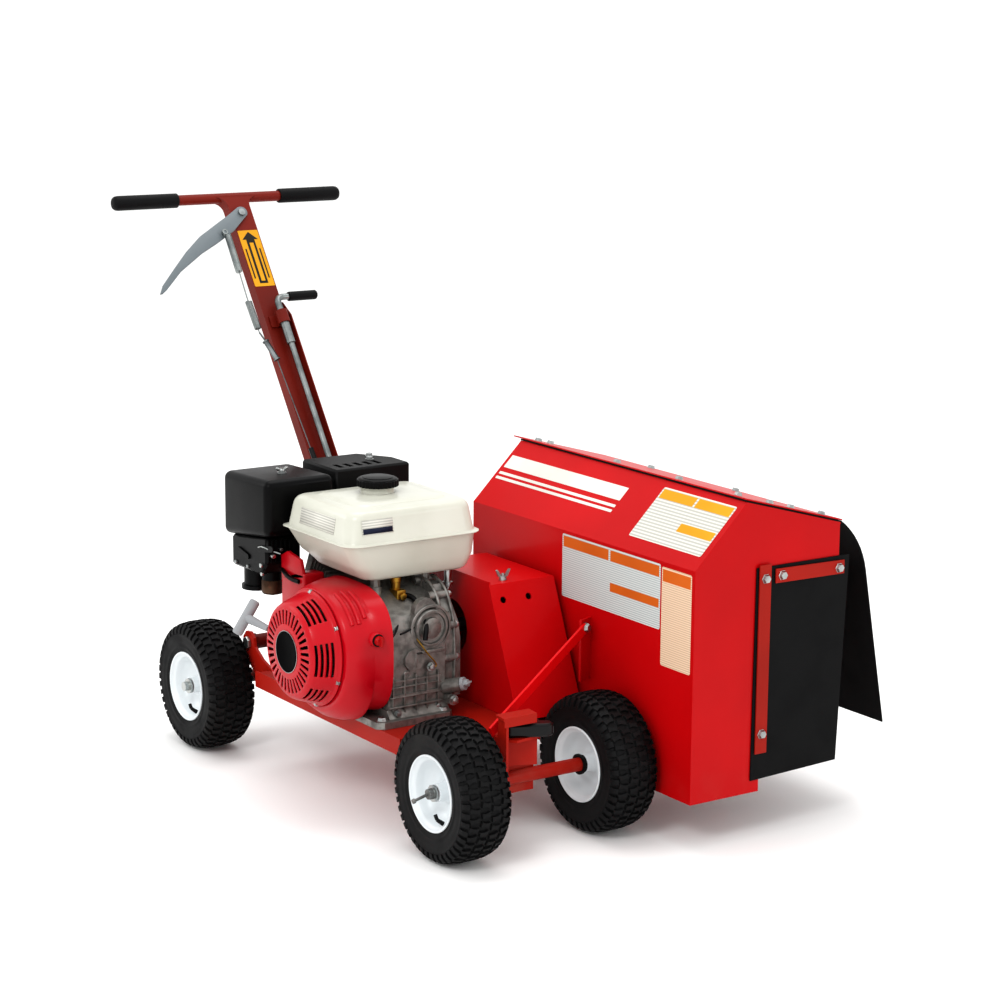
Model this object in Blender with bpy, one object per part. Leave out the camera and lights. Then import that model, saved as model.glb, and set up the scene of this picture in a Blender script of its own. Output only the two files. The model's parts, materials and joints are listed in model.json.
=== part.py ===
# Walk-behind bed edger: four-wheeled frame, engine, belt drive, hooded cutter rotor
# and a T-handle with clutch lever and depth crank. Metres, +Z up, +Y towards the
# operator, +X towards the rotor hood. Dimensions are given in the machine frame, whose
# origin lies on the ground under the left front wheel; machineShift moves the whole
# object so that it stands centred on the world origin.
import math

import bmesh
import bpy
from mathutils import Matrix
from mathutils import Vector

machineShift = (-0.3284, -0.5189, 0.0)
gap = 0.0003

# wheels
tyreRadius = 0.127
tyreWidth = 0.098
tyreSides = 20
lugHeight = 0.0045
rimFlangeRadius = 0.0665
rimBoreRadius = 0.0100
axleHeight = tyreRadius
frontLeftWheel = (0.0, 0.0)
frontRightWheel = (0.312, 0.0)
rearLeftWheel = (-0.047, 0.830)
rearRightWheel = (0.359, 0.830)

# frame
railHeight = 0.032
railWidth = 0.030
deckTop = 0.185
deckThick = 0.005
frameLeft = -0.020
frameRight = 0.340
frameFront = 0.0103
neckLeft = 0.060
neckRight = 0.176
neckEnd = 0.140
frameRear = 0.675
axleRadius = 0.0125
lockBolt = (0.1165, -0.036)
lockAngle = math.radians(-26)
braceTop = (0.352, 0.098, 0.347)
braceLow = (0.066, -0.0200, 0.2240)
braceHalf = 0.0095
braceThick = 0.005
stubRadius = 0.0095
bracketLeft = 0.074
bracketRight = 0.148
bracketLow = 0.0965
bracketTop = 0.2535
armPivotY = 0.745
armPivotZ = 0.222
earLeft = 0.004
earRight = 0.302
earThick = 0.006

# handle: the column leans by leanAngle towards the operator
columnX = 0.238
columnWidth = 0.0508
columnDepth = 0.0254
barCentre = (columnX, 1.227, 1.046)
leanAngle = math.radians(35.2)
columnLength = 1.044
barRadius = 0.011
barLeft = -0.036
barRight = 0.488
gripLength = 0.142
gripRadius = 0.0155

# clutch lever and its linkage, (across, along) the column from the bar's centre
leverPivot = (-0.005, -0.048)
linkTop = (-0.062, -0.096)
leverFace = columnDepth / 2 + 0.0015
leverThick = 0.006
linkPlane = columnDepth / 2 + 0.0158
springTop = (-0.0600, -0.252)
springEnd = (-0.0575, -0.332)
springRadius = 0.0062
springWire = 0.0024
springCurls = 14
turnTop = (-0.0500, -0.352)
turnEnd = (-0.0370, -0.397)
cableEntry = (-0.0270, -0.600)

# depth screw in front of the column
screwX = 0.243
screwOffset = 0.0327
crankTop = -0.252
crankReach = 0.092
screwPivot = -0.303
screwEnd = -1.012
nutPlace = -0.951
hornInner = 0.0375
hornThick = 0.007

# hood: outline in the XZ plane, seen from the front end
hoodFront = -0.1935
hoodBack = 0.505
hoodWall = 0.003
hoodLeft = 0.3727
hoodLow = 0.085
hoodFold = (0.3727, 0.508)
hoodTop = (0.484, 0.618)
hoodFar = (0.7008, 0.558)
openingLeft = 0.527
openingTop = 0.480
rubber = 0.003
roofPlateThick = 0.0025

# rotor and belt drive
rotorY = 0.200
rotorZ = 0.215
rotorRadius = 0.180
rotorX = 0.520
crankY = 0.337
crankZ = 0.317
shaftRadius = 0.0127
driveRadius = 0.046
drivenRadius = 0.058
beltX = 0.285
idlerPivot = (0.330, 0.388)
idlerCentre = (0.2199, 0.3353)
guardLeft = 0.216
guardRight = 0.360
guardTop = 0.420
guardLow = deckTop + gap
guardBack = 0.440

# engine
baseFront = 0.200
baseBack = 0.452
baseLeft = -0.026
baseRight = 0.136
coverFace = -0.1375
coverJoint = -0.0822
roomRadius = 0.1032
switchPlace = (-0.026, 0.352)
# the shroud's outlines: x, reach to the front, back, top and bottom, and squareness
coverRows = (
    (-0.0822, 0.1065, 0.1065, 0.1065, 0.1065, 2.0), (-0.0740, 0.117, 0.117, 0.110, 0.120, 2.1),
    (-0.0600, 0.121, 0.124, 0.113, 0.131, 2.2), (-0.0430, 0.124, 0.127, 0.115, 0.1365, 2.4),
    (-0.0285, 0.126, 0.129, 0.115, 0.1365, 2.6), (-0.0275, 0.126, 0.129, 0.115, 0.113, 2.8),
    (0.0035, 0.138, 0.132, 0.115, 0.113, 3.2),
)
recoilRadius = 0.1062
slotCount = 34
slotGroups = ((125, 34), (185, 36), (228, 24))
flankSlots = (-0.1240, -0.1160, -0.1040, -0.0940)
ropeExit = (-0.122, 0.4267, 0.336)
tankSeam = 0.510
tankLeft = -0.053
tankRight = 0.240
tankFront = 0.260
tankBack = 0.514
tankBottom = 0.4385
tankTop = 0.571
capPlace = (0.095, 0.405)

red = (0.62, 0.012, 0.014)
frameRed = (0.42, 0.040, 0.012)
columnRed = (0.23, 0.018, 0.008)
coverRed = (0.60, 0.008, 0.024)
cream = (0.78, 0.76, 0.63)
black = (0.012, 0.012, 0.012)
rubberBlack = (0.014, 0.014, 0.015)
zinc = (0.62, 0.63, 0.64)
aluminium = (0.33, 0.33, 0.34)
leverGrey = (0.24, 0.27, 0.27)
white = (0.80, 0.80, 0.80)
steel = (0.45, 0.45, 0.46)
brass = (0.55, 0.38, 0.12)

leanDirection = Vector((0, math.sin(leanAngle), math.cos(leanAngle)))
frontDirection = Vector((0, -math.cos(leanAngle), math.sin(leanAngle)))


def clearScene():
    for item in list(bpy.data.objects):
        bpy.data.objects.remove(item, do_unlink=True)


def makeRoot():
    root = bpy.data.objects.new("bed_edger", None)
    bpy.context.scene.collection.objects.link(root)
    root.location = machineShift
    return root


def columnPoint(across, along, forward=0.0):
    # a point beside the column: across it, along it from the bar, in front of its middle
    point = Vector(barCentre) + leanDirection * along + frontDirection * forward
    return point + Vector((across, 0, 0))


def columnMatrix():
    # x across the column, y along it upwards, z out of its front face
    matrix = Matrix.Identity(4)
    matrix.col[1] = leanDirection.to_4d()
    matrix.col[2] = frontDirection.to_4d()
    matrix.col[1][3] = 0
    matrix.col[2][3] = 0
    return matrix


def makeMaterial(name, colour, roughness, metallic):
    finish = bpy.data.materials.new(name)
    finish.use_nodes = True
    shader = finish.node_tree.nodes["Principled BSDF"]
    shader.inputs["Base Color"].default_value = (*colour, 1)
    shader.inputs["Roughness"].default_value = roughness
    shader.inputs["Metallic"].default_value = metallic
    finish.diffuse_color = (*colour, 1)
    return finish


def place(name, form, look, at=(0, 0, 0), parent=None, matrix=None, smooth=35):
    # form is a closed bmesh in the piece's own frame; look is colour, roughness, metallic
    bmesh.ops.recalc_face_normals(form, faces=form.faces)
    mesh = bpy.data.meshes.new(name)
    form.to_mesh(mesh)
    form.free()
    piece = bpy.data.objects.new(name, mesh)
    bpy.context.scene.collection.objects.link(piece)
    mesh.materials.append(makeMaterial(name, *look))
    mesh.shade_smooth()
    mesh.set_sharp_from_angle(angle=math.radians(smooth))
    piece.parent = parent or root
    if matrix is not None:
        piece.matrix_local = matrix
    piece.location = at
    return piece


def guide(name, form, like):
    # a hidden tool shape in the frame of the piece that it cuts or joins
    bmesh.ops.recalc_face_normals(form, faces=form.faces)
    mesh = bpy.data.meshes.new(name)
    form.to_mesh(mesh)
    form.free()
    tool = bpy.data.objects.new(name, mesh)
    bpy.context.scene.collection.objects.link(tool)
    tool.parent = like
    tool.hide_render = True
    tool.display_type = "WIRE"
    return tool


def combine(piece, form, operation, withSelf=False):
    tool = guide(piece.name + "_" + operation.lower(), form, piece)
    change = piece.modifiers.new(operation.lower(), "BOOLEAN")
    change.operation = operation
    change.solver = "EXACT"
    change.use_self = withSelf
    change.object = tool
    return tool


def weld(piece, form):
    combine(piece, form, "UNION", True)


def cut(piece, form):
    combine(piece, form, "DIFFERENCE", True)


def roundEdges(piece, width, segments=2, angle=40):
    # rounds a form's edges; it runs before what is welded on or cut out after it
    change = piece.modifiers.new("edges", "BEVEL")
    change.width = width
    change.segments = segments
    change.limit_method = "ANGLE"
    change.angle_limit = math.radians(angle)
    change.harden_normals = False


def addBox(form, low, high):
    size = Vector(high) - Vector(low)
    middle = (Vector(high) + Vector(low)) / 2
    matrix = Matrix.Translation(middle) @ Matrix.Diagonal((*size, 1))
    return bmesh.ops.create_cube(form, size=1, matrix=matrix)["verts"]


def axisMatrix(axis, at=(0, 0, 0)):
    # turns a form's own z axis onto x, y or z, or onto any vector
    if isinstance(axis, str):
        axis = {"x": Vector((1, 0, 0)), "y": Vector((0, 1, 0)), "z": Vector((0, 0, 1))}[axis]
    turn = axis.to_track_quat("Z", "Y").to_matrix().to_4x4()
    return Matrix.Translation(Vector(at)) @ turn


def addRound(form, axis, start, length, radius, sides=16, endRadius=None):
    # a cylinder or cone from start along axis
    tip = radius if endRadius is None else endRadius
    matrix = axisMatrix(axis, start) @ Matrix.Translation((0, 0, length / 2))
    made = bmesh.ops.create_cone(form, cap_ends=True, segments=sides, radius1=radius,
                                 radius2=tip, depth=length, matrix=matrix)
    return made["verts"]


def addHex(form, axis, start, length, acrossFlats):
    return addRound(form, axis, start, length, acrossFlats / math.sqrt(3), 6)


def addPrism(form, axis, outline, low, high):
    # extrudes an outline: (y, z) along x, (x, z) along y or (x, y) along z
    spots = {
        "x": [(low, a, b) for a, b in outline],
        "y": [(a, low, b) for a, b in outline],
        "z": [(a, b, low) for a, b in outline],
    }[axis]
    step = {"x": (high - low, 0, 0), "y": (0, high - low, 0), "z": (0, 0, high - low)}[axis]
    face = form.faces.new([form.verts.new(spot) for spot in spots])
    made = bmesh.ops.extrude_face_region(form, geom=[face])
    moved = [item for item in made["geom"] if isinstance(item, bmesh.types.BMVert)]
    bmesh.ops.translate(form, verts=moved, vec=step)
    return moved


def addTurned(form, profile, sides, axis="x", at=(0, 0, 0), phase=0.0):
    # spins a closed profile of (radius, place along the axis) points
    ring = [form.verts.new((radius, 0, along)) for radius, along in profile]
    edges = [form.edges.new((ring[i], ring[(i + 1) % len(ring)])) for i in range(len(ring))]
    made = bmesh.ops.spin(form, geom=ring + edges, axis=(0, 0, 1), cent=(0, 0, 0),
                          angle=2 * math.pi, steps=sides, use_merge=True)
    verts = set(ring)
    for edge in made["geom_last"]:
        if isinstance(edge, bmesh.types.BMVert):
            verts.add(edge)
    linked = grow(verts)
    matrix = axisMatrix(axis, at) @ Matrix.Rotation(phase, 4, "Z")
    bmesh.ops.transform(form, matrix=matrix, verts=list(linked))
    return linked


def grow(verts):
    # all vertices joined to the given ones
    found = set(verts)
    queue = list(verts)
    while queue:
        vert = queue.pop()
        for edge in vert.link_edges:
            other = edge.other_vert(vert)
            if other not in found:
                found.add(other)
                queue.append(other)
    return found


def arc(centre, radius, start, end, steps):
    # points of an arc, angles in degrees
    points = []
    for i in range(steps + 1):
        angle = math.radians(start + (end - start) * i / steps)
        points.append((centre[0] + radius * math.cos(angle),
                       centre[1] + radius * math.sin(angle)))
    return points


def smoothRoute(points, steps):
    # a smooth curve through the route's own points
    route = [Vector(point) for point in points]
    ends = [2 * route[0] - route[1]] + route + [2 * route[-1] - route[-2]]
    line = []
    for i in range(1, len(ends) - 2):
        a, b, c, d = ends[i - 1:i + 3]
        for k in range(steps):
            t = k / steps
            line.append(0.5 * (2 * b + (c - a) * t + (2 * a - 5 * b + 4 * c - d) * t * t
                               + (3 * b - a - 3 * c + d) * t ** 3))
    return line + [route[-1]]


def makeTube(name, points, radius, look, parent=None, resolution=2):
    # a tube along a line of points
    curve = bpy.data.curves.new(name, "CURVE")
    curve.dimensions = "3D"
    curve.bevel_depth = radius
    curve.bevel_resolution = resolution
    curve.use_fill_caps = True
    line = curve.splines.new("POLY")
    line.points.add(len(points) - 1)
    for spot, point in zip(line.points, points):
        spot.co = (*point, 1)
    piece = bpy.data.objects.new(name, curve)
    bpy.context.scene.collection.objects.link(piece)
    curve.materials.append(makeMaterial(name, *look))
    piece.parent = parent or root
    return piece


def pivot(name, at, parent=None):
    # an empty on a joint's axis
    spot = bpy.data.objects.new(name, None)
    bpy.context.scene.collection.objects.link(spot)
    spot.parent = parent or root
    spot.location = at
    return spot


def makeTyreMesh():
    # turf tyre: a turned carcass whose crown faces alternate as raised lugs
    half = tyreWidth / 2
    crown = tyreRadius - lugHeight
    bead = rimFlangeRadius + 0.0038
    seat = rimFlangeRadius - 0.0005
    outer = [(bead, -half + 0.004), (bead + 0.016, -half), (crown - 0.018, -half + 0.001),
             (crown, -half + 0.017)]
    crownRow = [(crown, -0.0105), (crown, 0.0105)]
    mirrored = [(radius, -along) for radius, along in reversed(outer)]
    inner = [(seat, half - 0.014), (crown - 0.016, 0), (seat, -half + 0.014)]
    profile = [(radius / math.cos(math.pi / tyreSides), along)
               for radius, along in outer + crownRow + mirrored + inner]
    form = bmesh.new()
    addTurned(form, profile, tyreSides, phase=math.pi / tyreSides)
    bmesh.ops.recalc_face_normals(form, faces=form.faces)
    lugs = [face for face in form.faces if isLug(face, crown)]
    for face in lugs:
        centre = face.calc_center_median()
        outward = Vector((0, centre.y, centre.z)).normalized()
        for vert in raiseFace(form, face):
            vert.co += (centre - vert.co) * 0.10 + outward * lugHeight
    mesh = bpy.data.meshes.new("tyre")
    form.to_mesh(mesh)
    form.free()
    mesh.shade_smooth()
    mesh.set_sharp_from_angle(angle=math.radians(32))
    return mesh


def isLug(face, crown):
    # picks the crown and shoulder faces that carry a lug, staggered round the tyre
    centre = face.calc_center_median()
    reach = math.hypot(centre.y, centre.z)
    if reach < crown - 0.012 or face.normal.x ** 2 > 0.75:
        return False
    if face.normal.dot(Vector((0, centre.y, centre.z))) <= 0:
        return False
    turn = round(math.atan2(centre.y, -centre.z) / (2 * math.pi) * tyreSides)
    between = 0.006 < abs(centre.x) < 0.034
    return turn % 2 == (1 if between else 0)


def raiseFace(form, face):
    # lifts one face on walls of its own and returns its new corners
    corners = list(face.verts)
    raised = [form.verts.new(vert.co) for vert in corners]
    form.faces.remove(face)
    for i in range(len(corners)):
        after = (i + 1) % len(corners)
        form.faces.new((corners[i], corners[after], raised[after], raised[i]))
    form.faces.new(raised)
    return raised


def makeWheels():
    tyreMesh = makeTyreMesh()
    rimMesh = makeRimMesh()
    sites = {
        "front_left": (frontLeftWheel, root),
        "front_right": (frontRightWheel, root),
        "rear_left": (rearLeftWheel, armPivot),
        "rear_right": (rearRightWheel, armPivot),
    }
    for name, (spot, parent) in sites.items():
        carrier = pivot(name + "_hub", (spot[0], spot[1], axleHeight), parent)
        if parent is armPivot:
            carrier.location = (spot[0], spot[1] - armPivotY, axleHeight - armPivotZ)
        tyre = bpy.data.objects.new("tyre_" + name, tyreMesh.copy())
        rim = bpy.data.objects.new("rim_" + name, rimMesh.copy())
        for piece, look in ((tyre, (rubberBlack, 0.85, 0.0)), (rim, (white, 0.4, 0.0))):
            bpy.context.scene.collection.objects.link(piece)
            piece.parent = carrier
            piece.data.materials.append(makeMaterial(piece.name, *look))
        stem = bmesh.new()
        outward = Vector((-1, 0.25, -0.35)).normalized()
        addRound(stem, outward, (-0.022, 0.026, -0.041), 0.024, 0.0045, 6, 0.0036)
        weld(rim, stem)


def makeRimMesh():
    # pressed steel rim: flanges, well, dished disc and hub with a bore
    bore = rimBoreRadius
    profile = [
        (bore, -0.034), (0.0185, -0.034), (0.0185, -0.014), (0.047, -0.018),
        (rimFlangeRadius, -0.0475), (rimFlangeRadius + 0.0015, -0.0450), (0.0515, -0.016),
        (0.0515, 0.016), (rimFlangeRadius + 0.0015, 0.0450), (rimFlangeRadius, 0.0475),
        (0.047, 0.010), (0.0185, -0.008), (0.0185, 0.034), (bore, 0.034),
    ]
    form = bmesh.new()
    addTurned(form, profile, 14)
    bmesh.ops.recalc_face_normals(form, faces=form.faces)
    mesh = bpy.data.meshes.new("rim")
    form.to_mesh(mesh)
    form.free()
    mesh.shade_smooth()
    mesh.set_sharp_from_angle(angle=math.radians(32))
    return mesh


def makeFrame():
    # two rails under a folded deck, cross rails, the column's gussets and the rear ears
    base = bmesh.new()
    addBox(base, (frameLeft, neckEnd, deckTop - deckThick), (frameRight, 0.660, deckTop))
    frame = place("main_frame", base, (frameRed, 0.45, 0.0))
    rest = bmesh.new()
    railLow = deckTop - railHeight
    for left in (frameLeft, frameRight - railWidth):
        channel = [
            (left, railLow), (left + railWidth, railLow),
            (left + railWidth, railLow + 0.004), (left + 0.004, railLow + 0.004),
            (left + 0.004, deckTop - 0.001), (left, deckTop - 0.001),
        ]
        if left > 0.1:
            middle = left + railWidth / 2
            channel = [(2 * middle - x, z) for x, z in channel]
        addPrism(rest, "y", channel, neckEnd, frameRear)
    addBox(rest, (frameLeft + 0.001, neckEnd + 0.001, railLow + 0.001),
           (frameRight - 0.001, neckEnd + 0.005, deckTop - 0.001))
    neck = [(neckLeft, railLow), (neckLeft + 0.004, railLow), (neckLeft + 0.004, 0.181),
            (neckRight - 0.004, 0.181), (neckRight - 0.004, railLow), (neckRight, railLow),
            (neckRight, deckTop), (neckLeft, deckTop)]
    addPrism(rest, "y", neck, frameFront, neckEnd + 0.003)
    addBox(rest, (neckLeft + 0.001, frameFront + 0.001, railLow + 0.001),
           (neckRight - 0.001, frameFront + 0.005, deckTop - 0.001))
    addBox(rest, (frameLeft + 0.001, 0.646, railLow + 0.001),
           (frameRight - 0.001, 0.661, deckTop - 0.001))
    for left in (earLeft, earRight):
        ear = [(0.640, railLow + 0.002), (0.705, railLow + 0.002), (0.766, 0.196)]
        ear += arc((armPivotY, armPivotZ), 0.024, -20, 190, 5)
        ear += [(0.690, 0.199), (0.640, deckTop - 0.002)]
        addPrism(rest, "x", ear, left, left + earThick)
    for side in (-1, 1):
        inner = columnX + side * (columnWidth / 2 + 2 * gap)
        outer = inner + side * 0.005
        gusset = [(0.588, deckTop - 0.002), (0.655, deckTop - 0.002), (0.6897, 0.2568),
                  (0.6641, 0.2748), (0.588, 0.204)]
        addPrism(rest, "x", gusset, min(inner, outer), max(inner, outer))
        foot = columnPoint(0, -0.985)
        addBoltHead(rest, Vector((side, 0, 0)), (outer - side * 0.0005, foot.y, foot.z), 0.013)
    weld(frame, rest)
    holes = bmesh.new()
    for left in (earLeft, earRight):
        addRound(holes, "x", (left - 0.01, armPivotY, armPivotZ), 0.03, 0.0092, 8)
    addBox(holes, (beltX - 0.024, 0.134, 0.17), (beltX + 0.024, 0.266, 0.20))
    cut(frame, holes)
    return frame


def makeFrontAxle():
    # a tube across the front with a channel bracket welded behind it
    form = bmesh.new()
    addRound(form, "x", (0.052, 0, axleHeight), frontRightWheel[0] - 0.036 - 0.052,
             axleRadius, 12)
    axle = place("front_axle", form, (frameRed, 0.45, 0.0))
    rest = bmesh.new()
    left = frontLeftWheel[0]
    right = frontRightWheel[0]
    addRound(rest, "x", (left - 0.050, 0, axleHeight), 0.110, stubRadius, 10)
    addRound(rest, "x", (right - 0.050, 0, axleHeight), 0.100, stubRadius, 10)
    addRound(rest, "x", (left - 0.0405, 0, axleHeight), 0.0035, 0.0155, 10)
    addRound(rest, "x", (right + 0.0370, 0, axleHeight), 0.0035, 0.0155, 10)
    inner = bracketLeft + 0.005
    side = [(-0.0580, 0.116), (0.010, 0.100), (0.010, 0.2167), (-0.0300, 0.2167),
            (-0.0330, bracketTop), (-0.0575, bracketTop)]
    addPrism(rest, "x", side, bracketLeft, inner)
    addBox(rest, (inner - 0.001, 0.005, bracketLow), (bracketRight, 0.0099, 0.2130))
    addBox(rest, (bracketRight - 0.001, 0.0052, bracketLow), (0.175, 0.0098, 0.1520))
    apron = [(inner - 0.0005, -0.0151), (0.1475, -0.0454), (0.1475, -0.0410),
             (inner - 0.0005, -0.0107)]
    addPrism(rest, "z", apron, 0.1600, 0.2095)
    shelf = [(inner - 0.001, 0.0060), (inner - 0.001, -0.0320), (0.0980, -0.0560),
             (0.1478, -0.0490), (0.1478, 0.0060)]
    addPrism(rest, "z", shelf, 0.2090, 0.2140)
    plate = [(0.0680, -0.0585), (0.1375, -0.0585), (0.1415, -0.0275), (0.0720, -0.0275)]
    addPrism(rest, "z", plate, bracketTop - 0.0005, 0.2580)
    addBox(rest, (0.0700, -0.0584, 0.2413), (0.1374, -0.0555, 0.2575))
    addTurned(rest, [(0.0001, 0.0), (0.0042, 0.0), (0.0042, 0.0278), (0.0095, 0.0278),
                     (0.0080, 0.0312), (0.0045, 0.0330), (0.0001, 0.0335)], 10, "z",
              at=(*lockBolt, 0.2112))
    weld(axle, rest)
    return axle


def braceFrame():
    # along the bar, its broad way and its thin way, as unit vectors
    run = (Vector(braceLow) - Vector(braceTop)).normalized()
    side = Vector((0, 0, 1)).cross(run).normalized()
    return run, run.cross(side), side


def makeBrace():
    # flat bar from the lug on the hood down behind the bracket
    run, broad, side = braceFrame()
    matrix = Matrix.Identity(4)
    matrix.col[0] = (*run, 0)
    matrix.col[1] = (*broad, 0)
    matrix.col[2] = (*side, 0)
    length = (Vector(braceLow) - Vector(braceTop)).length
    outline = arc((0, 0), braceHalf, 90, 270, 6)
    outline += [(length, -braceHalf), (length, braceHalf)]
    form = bmesh.new()
    addPrism(form, "z", outline, -braceThick / 2, braceThick / 2)
    bar = place("brace_bar", form, (red, 0.35, 0.0), at=braceTop, matrix=matrix)
    head = bmesh.new()
    addBoltHead(head, "z", (0, 0, braceThick / 2 - 0.0005), 0.013)
    weld(bar, head)
    return bar


def makeHandle():
    # rectangular column welded to the T-bar with curved gussets, and a rod guard flange
    form = bmesh.new()
    halfWide = columnWidth / 2
    halfDeep = columnDepth / 2
    gusset = 0.022
    outline = [(-halfWide, -columnLength), (halfWide, -columnLength)]
    outline += arc((halfWide + gusset, -gusset - 0.004), gusset, 180, 95, 5)
    outline += reversed(arc((-halfWide - gusset, -gusset - 0.004), gusset, 0, 85, 5))
    addPrism(form, "z", outline, -halfDeep, halfDeep)
    column = place("handle_column", form, (columnRed, 0.4, 0.0), at=barCentre,
                   matrix=columnMatrix())
    rest = bmesh.new()
    addRound(rest, "x", (barLeft - columnX, 0, 0), barRight - barLeft, barRadius, 16)
    flange = [(-columnLength + 0.10, halfDeep - 0.002), (-columnLength + 0.14, 0.036),
              (-0.300, 0.036), (-0.262, halfDeep + 0.006), (-0.262, halfDeep - 0.002)]
    addPrism(rest, "x", flange, halfWide - 0.003, halfWide - 0.0005)
    weld(column, rest)
    return column


def makeGrip(name, start):
    # moulded grip with a collar and a round blind end
    form = bmesh.new()
    inner = (barRadius + gap) / math.cos(math.pi / 10)
    outer = gripRadius
    tip = gripLength + 0.004
    profile = [(inner, 0.0), (outer + 0.0015, 0.0), (outer + 0.0015, 0.005), (outer, 0.007)]
    profile += [(outer, tip - 0.010), (outer - 0.003, tip - 0.003), (outer - 0.008, tip),
                (0.0012, tip), (0.0012, gripLength), (inner, gripLength)]
    axis = "x" if start > columnX else Vector((-1, 0, 0))
    addTurned(form, profile, 10, axis)
    return place(name, form, (black, 0.55, 0.0), at=(start, barCentre[1], barCentre[2]))


def makeClutchLever():
    # flat bar, widest where the hand starts, bent down and narrowed to its tip
    pivotAt = columnPoint(leverPivot[0], leverPivot[1], leverFace + gap)
    carrier = pivot("clutch_lever_pivot", pivotAt)
    carrier.matrix_local = Matrix.Translation(pivotAt) @ columnMatrix()
    # upper and lower edges of the bar, across and along the column from the pivot
    upper = [(-0.004, 0.014), (-0.069, -0.025), (-0.112, -0.050), (-0.153, -0.083),
             (-0.186, -0.115), (-0.218, -0.147)]
    lower = [(0.014, -0.004), (-0.029, -0.041), (-0.062, -0.060), (-0.097, -0.080),
             (-0.139, -0.096), (-0.174, -0.124), (-0.212, -0.158)]
    end = [(-0.231, -0.170), (-0.226, -0.163)]
    knob = arc((0.003, 0.003), 0.0125, -40, 115, 6)
    outline = knob + upper + list(reversed(end)) + list(reversed(lower))
    form = bmesh.new()
    addPrism(form, "z", outline, 0.0, leverThick)
    for vert in form.verts:
        past = max(0.0, -vert.co.x - 0.145)
        vert.co.z -= past * 0.25
    lever = place("clutch_lever", form, (leverGrey, 0.45, 0.6), parent=carrier)
    pin = bmesh.new()
    spot = (linkTop[0] - leverPivot[0], linkTop[1] - leverPivot[1], leverThick - 0.001)
    addRound(pin, "z", spot, linkPlane - leverFace - leverThick + 0.0050, 0.0028, 10)
    weld(lever, pin)
    hole = bmesh.new()
    addRound(hole, "z", (0, 0, -0.01), 0.03, 0.0048, 12)
    cut(lever, hole)
    return carrier


def makeClutchLink(carrier):
    # what hangs from the lever: pull tube, spring, turnbuckle and wire
    height = linkPlane - leverFace - gap
    spot = pivot("clutch_link_pivot", (linkTop[0] - leverPivot[0], linkTop[1] - leverPivot[1],
                                       height), carrier)

    def local(point, forward=0.0):
        return Vector((point[0] - linkTop[0], point[1] - linkTop[1], forward))

    tubeStart = local((-0.0575, -0.1045))
    tubeEnd = local((-0.0585, -0.190))
    run = tubeEnd - tubeStart
    form = bmesh.new()
    addRound(form, run.normalized(), tubeStart, run.length, 0.0072, 16)
    tube = place("pull_tube", form, (zinc, 0.3, 0.9), parent=spot)
    weld(tube, pullTubeEnds(tubeStart, tubeEnd, local))
    makeTube("clutch_spring", springPoints(local(springTop), local(springEnd)),
             springWire / 2, (steel, 0.35, 1.0), spot, 1)
    makeTurnbuckle(spot, local)
    return spot


def pullTubeEnds(tubeStart, tubeEnd, local):
    # ring round the lever's pin, and the wire that joins the tube to the spring
    form = bmesh.new()
    addTurned(form, [(0.0032, -0.0028), (0.0066, -0.0028), (0.0066, 0.0028),
                     (0.0032, 0.0028)], 14, "z")
    towards = tubeStart.normalized()
    addRound(form, towards, towards * 0.0055, tubeStart.length - 0.0045, 0.0024, 10)
    wireEnd = local(springTop) + Vector((0, gap, 0))
    run = wireEnd - tubeEnd
    addRound(form, run.normalized(), tubeEnd - run.normalized() * 0.002, run.length + 0.002,
             0.0014, 8)
    return form


def springPoints(start, end):
    # tension spring with its ends brought to the middle line, as one tube
    run = end - start
    along = run.normalized()
    across = along.orthogonal().normalized()
    third = along.cross(across)
    perCurl = 8
    lead = 2.5 * springWire
    turn = 0.004
    length = run.length - 2 * (lead + turn)
    count = springCurls * perCurl
    points = [start, start + along * lead * 0.5, start + along * lead * 0.9]
    for i in range(-2, count + 3):
        share = min(max(i / count, 0.0), 1.0)
        reach = lead + turn + length * share
        radius = springRadius
        if i < 0:
            reach += turn * i / 3
            radius *= (0.45, 0.80)[i + 2]
        if i > count:
            reach += turn * (i - count) / 3
            radius *= (0.80, 0.45)[i - count - 1]
        angle = 2 * math.pi * i / perCurl
        ring = across * math.cos(angle) + third * math.sin(angle)
        points.append(start + along * reach + ring * radius)
    points += [end - along * lead * 0.9, end - along * lead * 0.5, end]
    measureSelfGap(points, perCurl, springWire)
    return points


def measureSelfGap(points, perCurl, wire):
    # the least distance between stretches of wire that aren't neighbours
    least = 1.0
    for i in range(len(points)):
        for k in range(i + perCurl - 3, min(len(points), i + 2 * perCurl)):
            least = min(least, (points[i] - points[k]).length)
    print("least self gap of the spring, mm:", round((least - wire) * 1000, 2))


def makeTurnbuckle(spot, local):
    # threaded body with an eye at each end and the wire that runs down to the cable
    top = local(turnTop)
    low = local(turnEnd)
    run = (low - top)
    along = run.normalized()
    form = bmesh.new()
    addHex(form, along, top, run.length, 0.0095)
    body = place("turnbuckle", form, (steel, 0.35, 0.9), parent=spot)
    rest = bmesh.new()
    upper = local(springEnd) + Vector((0, -gap, 0))
    joint = top - upper
    addRound(rest, joint.normalized(), upper, joint.length + 0.004, 0.0018, 8)
    wire = local((cableEntry[0], cableEntry[1])) - low
    addRound(rest, wire.normalized(), low - wire.normalized() * 0.004, wire.length + 0.048,
             0.0011, 8)
    for part, shift in ((0.0, 0.0), (1.0, -0.003)):
        addHex(rest, along, top + run * part + along * shift, 0.003, 0.0125)
    weld(body, rest)
    return body


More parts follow.
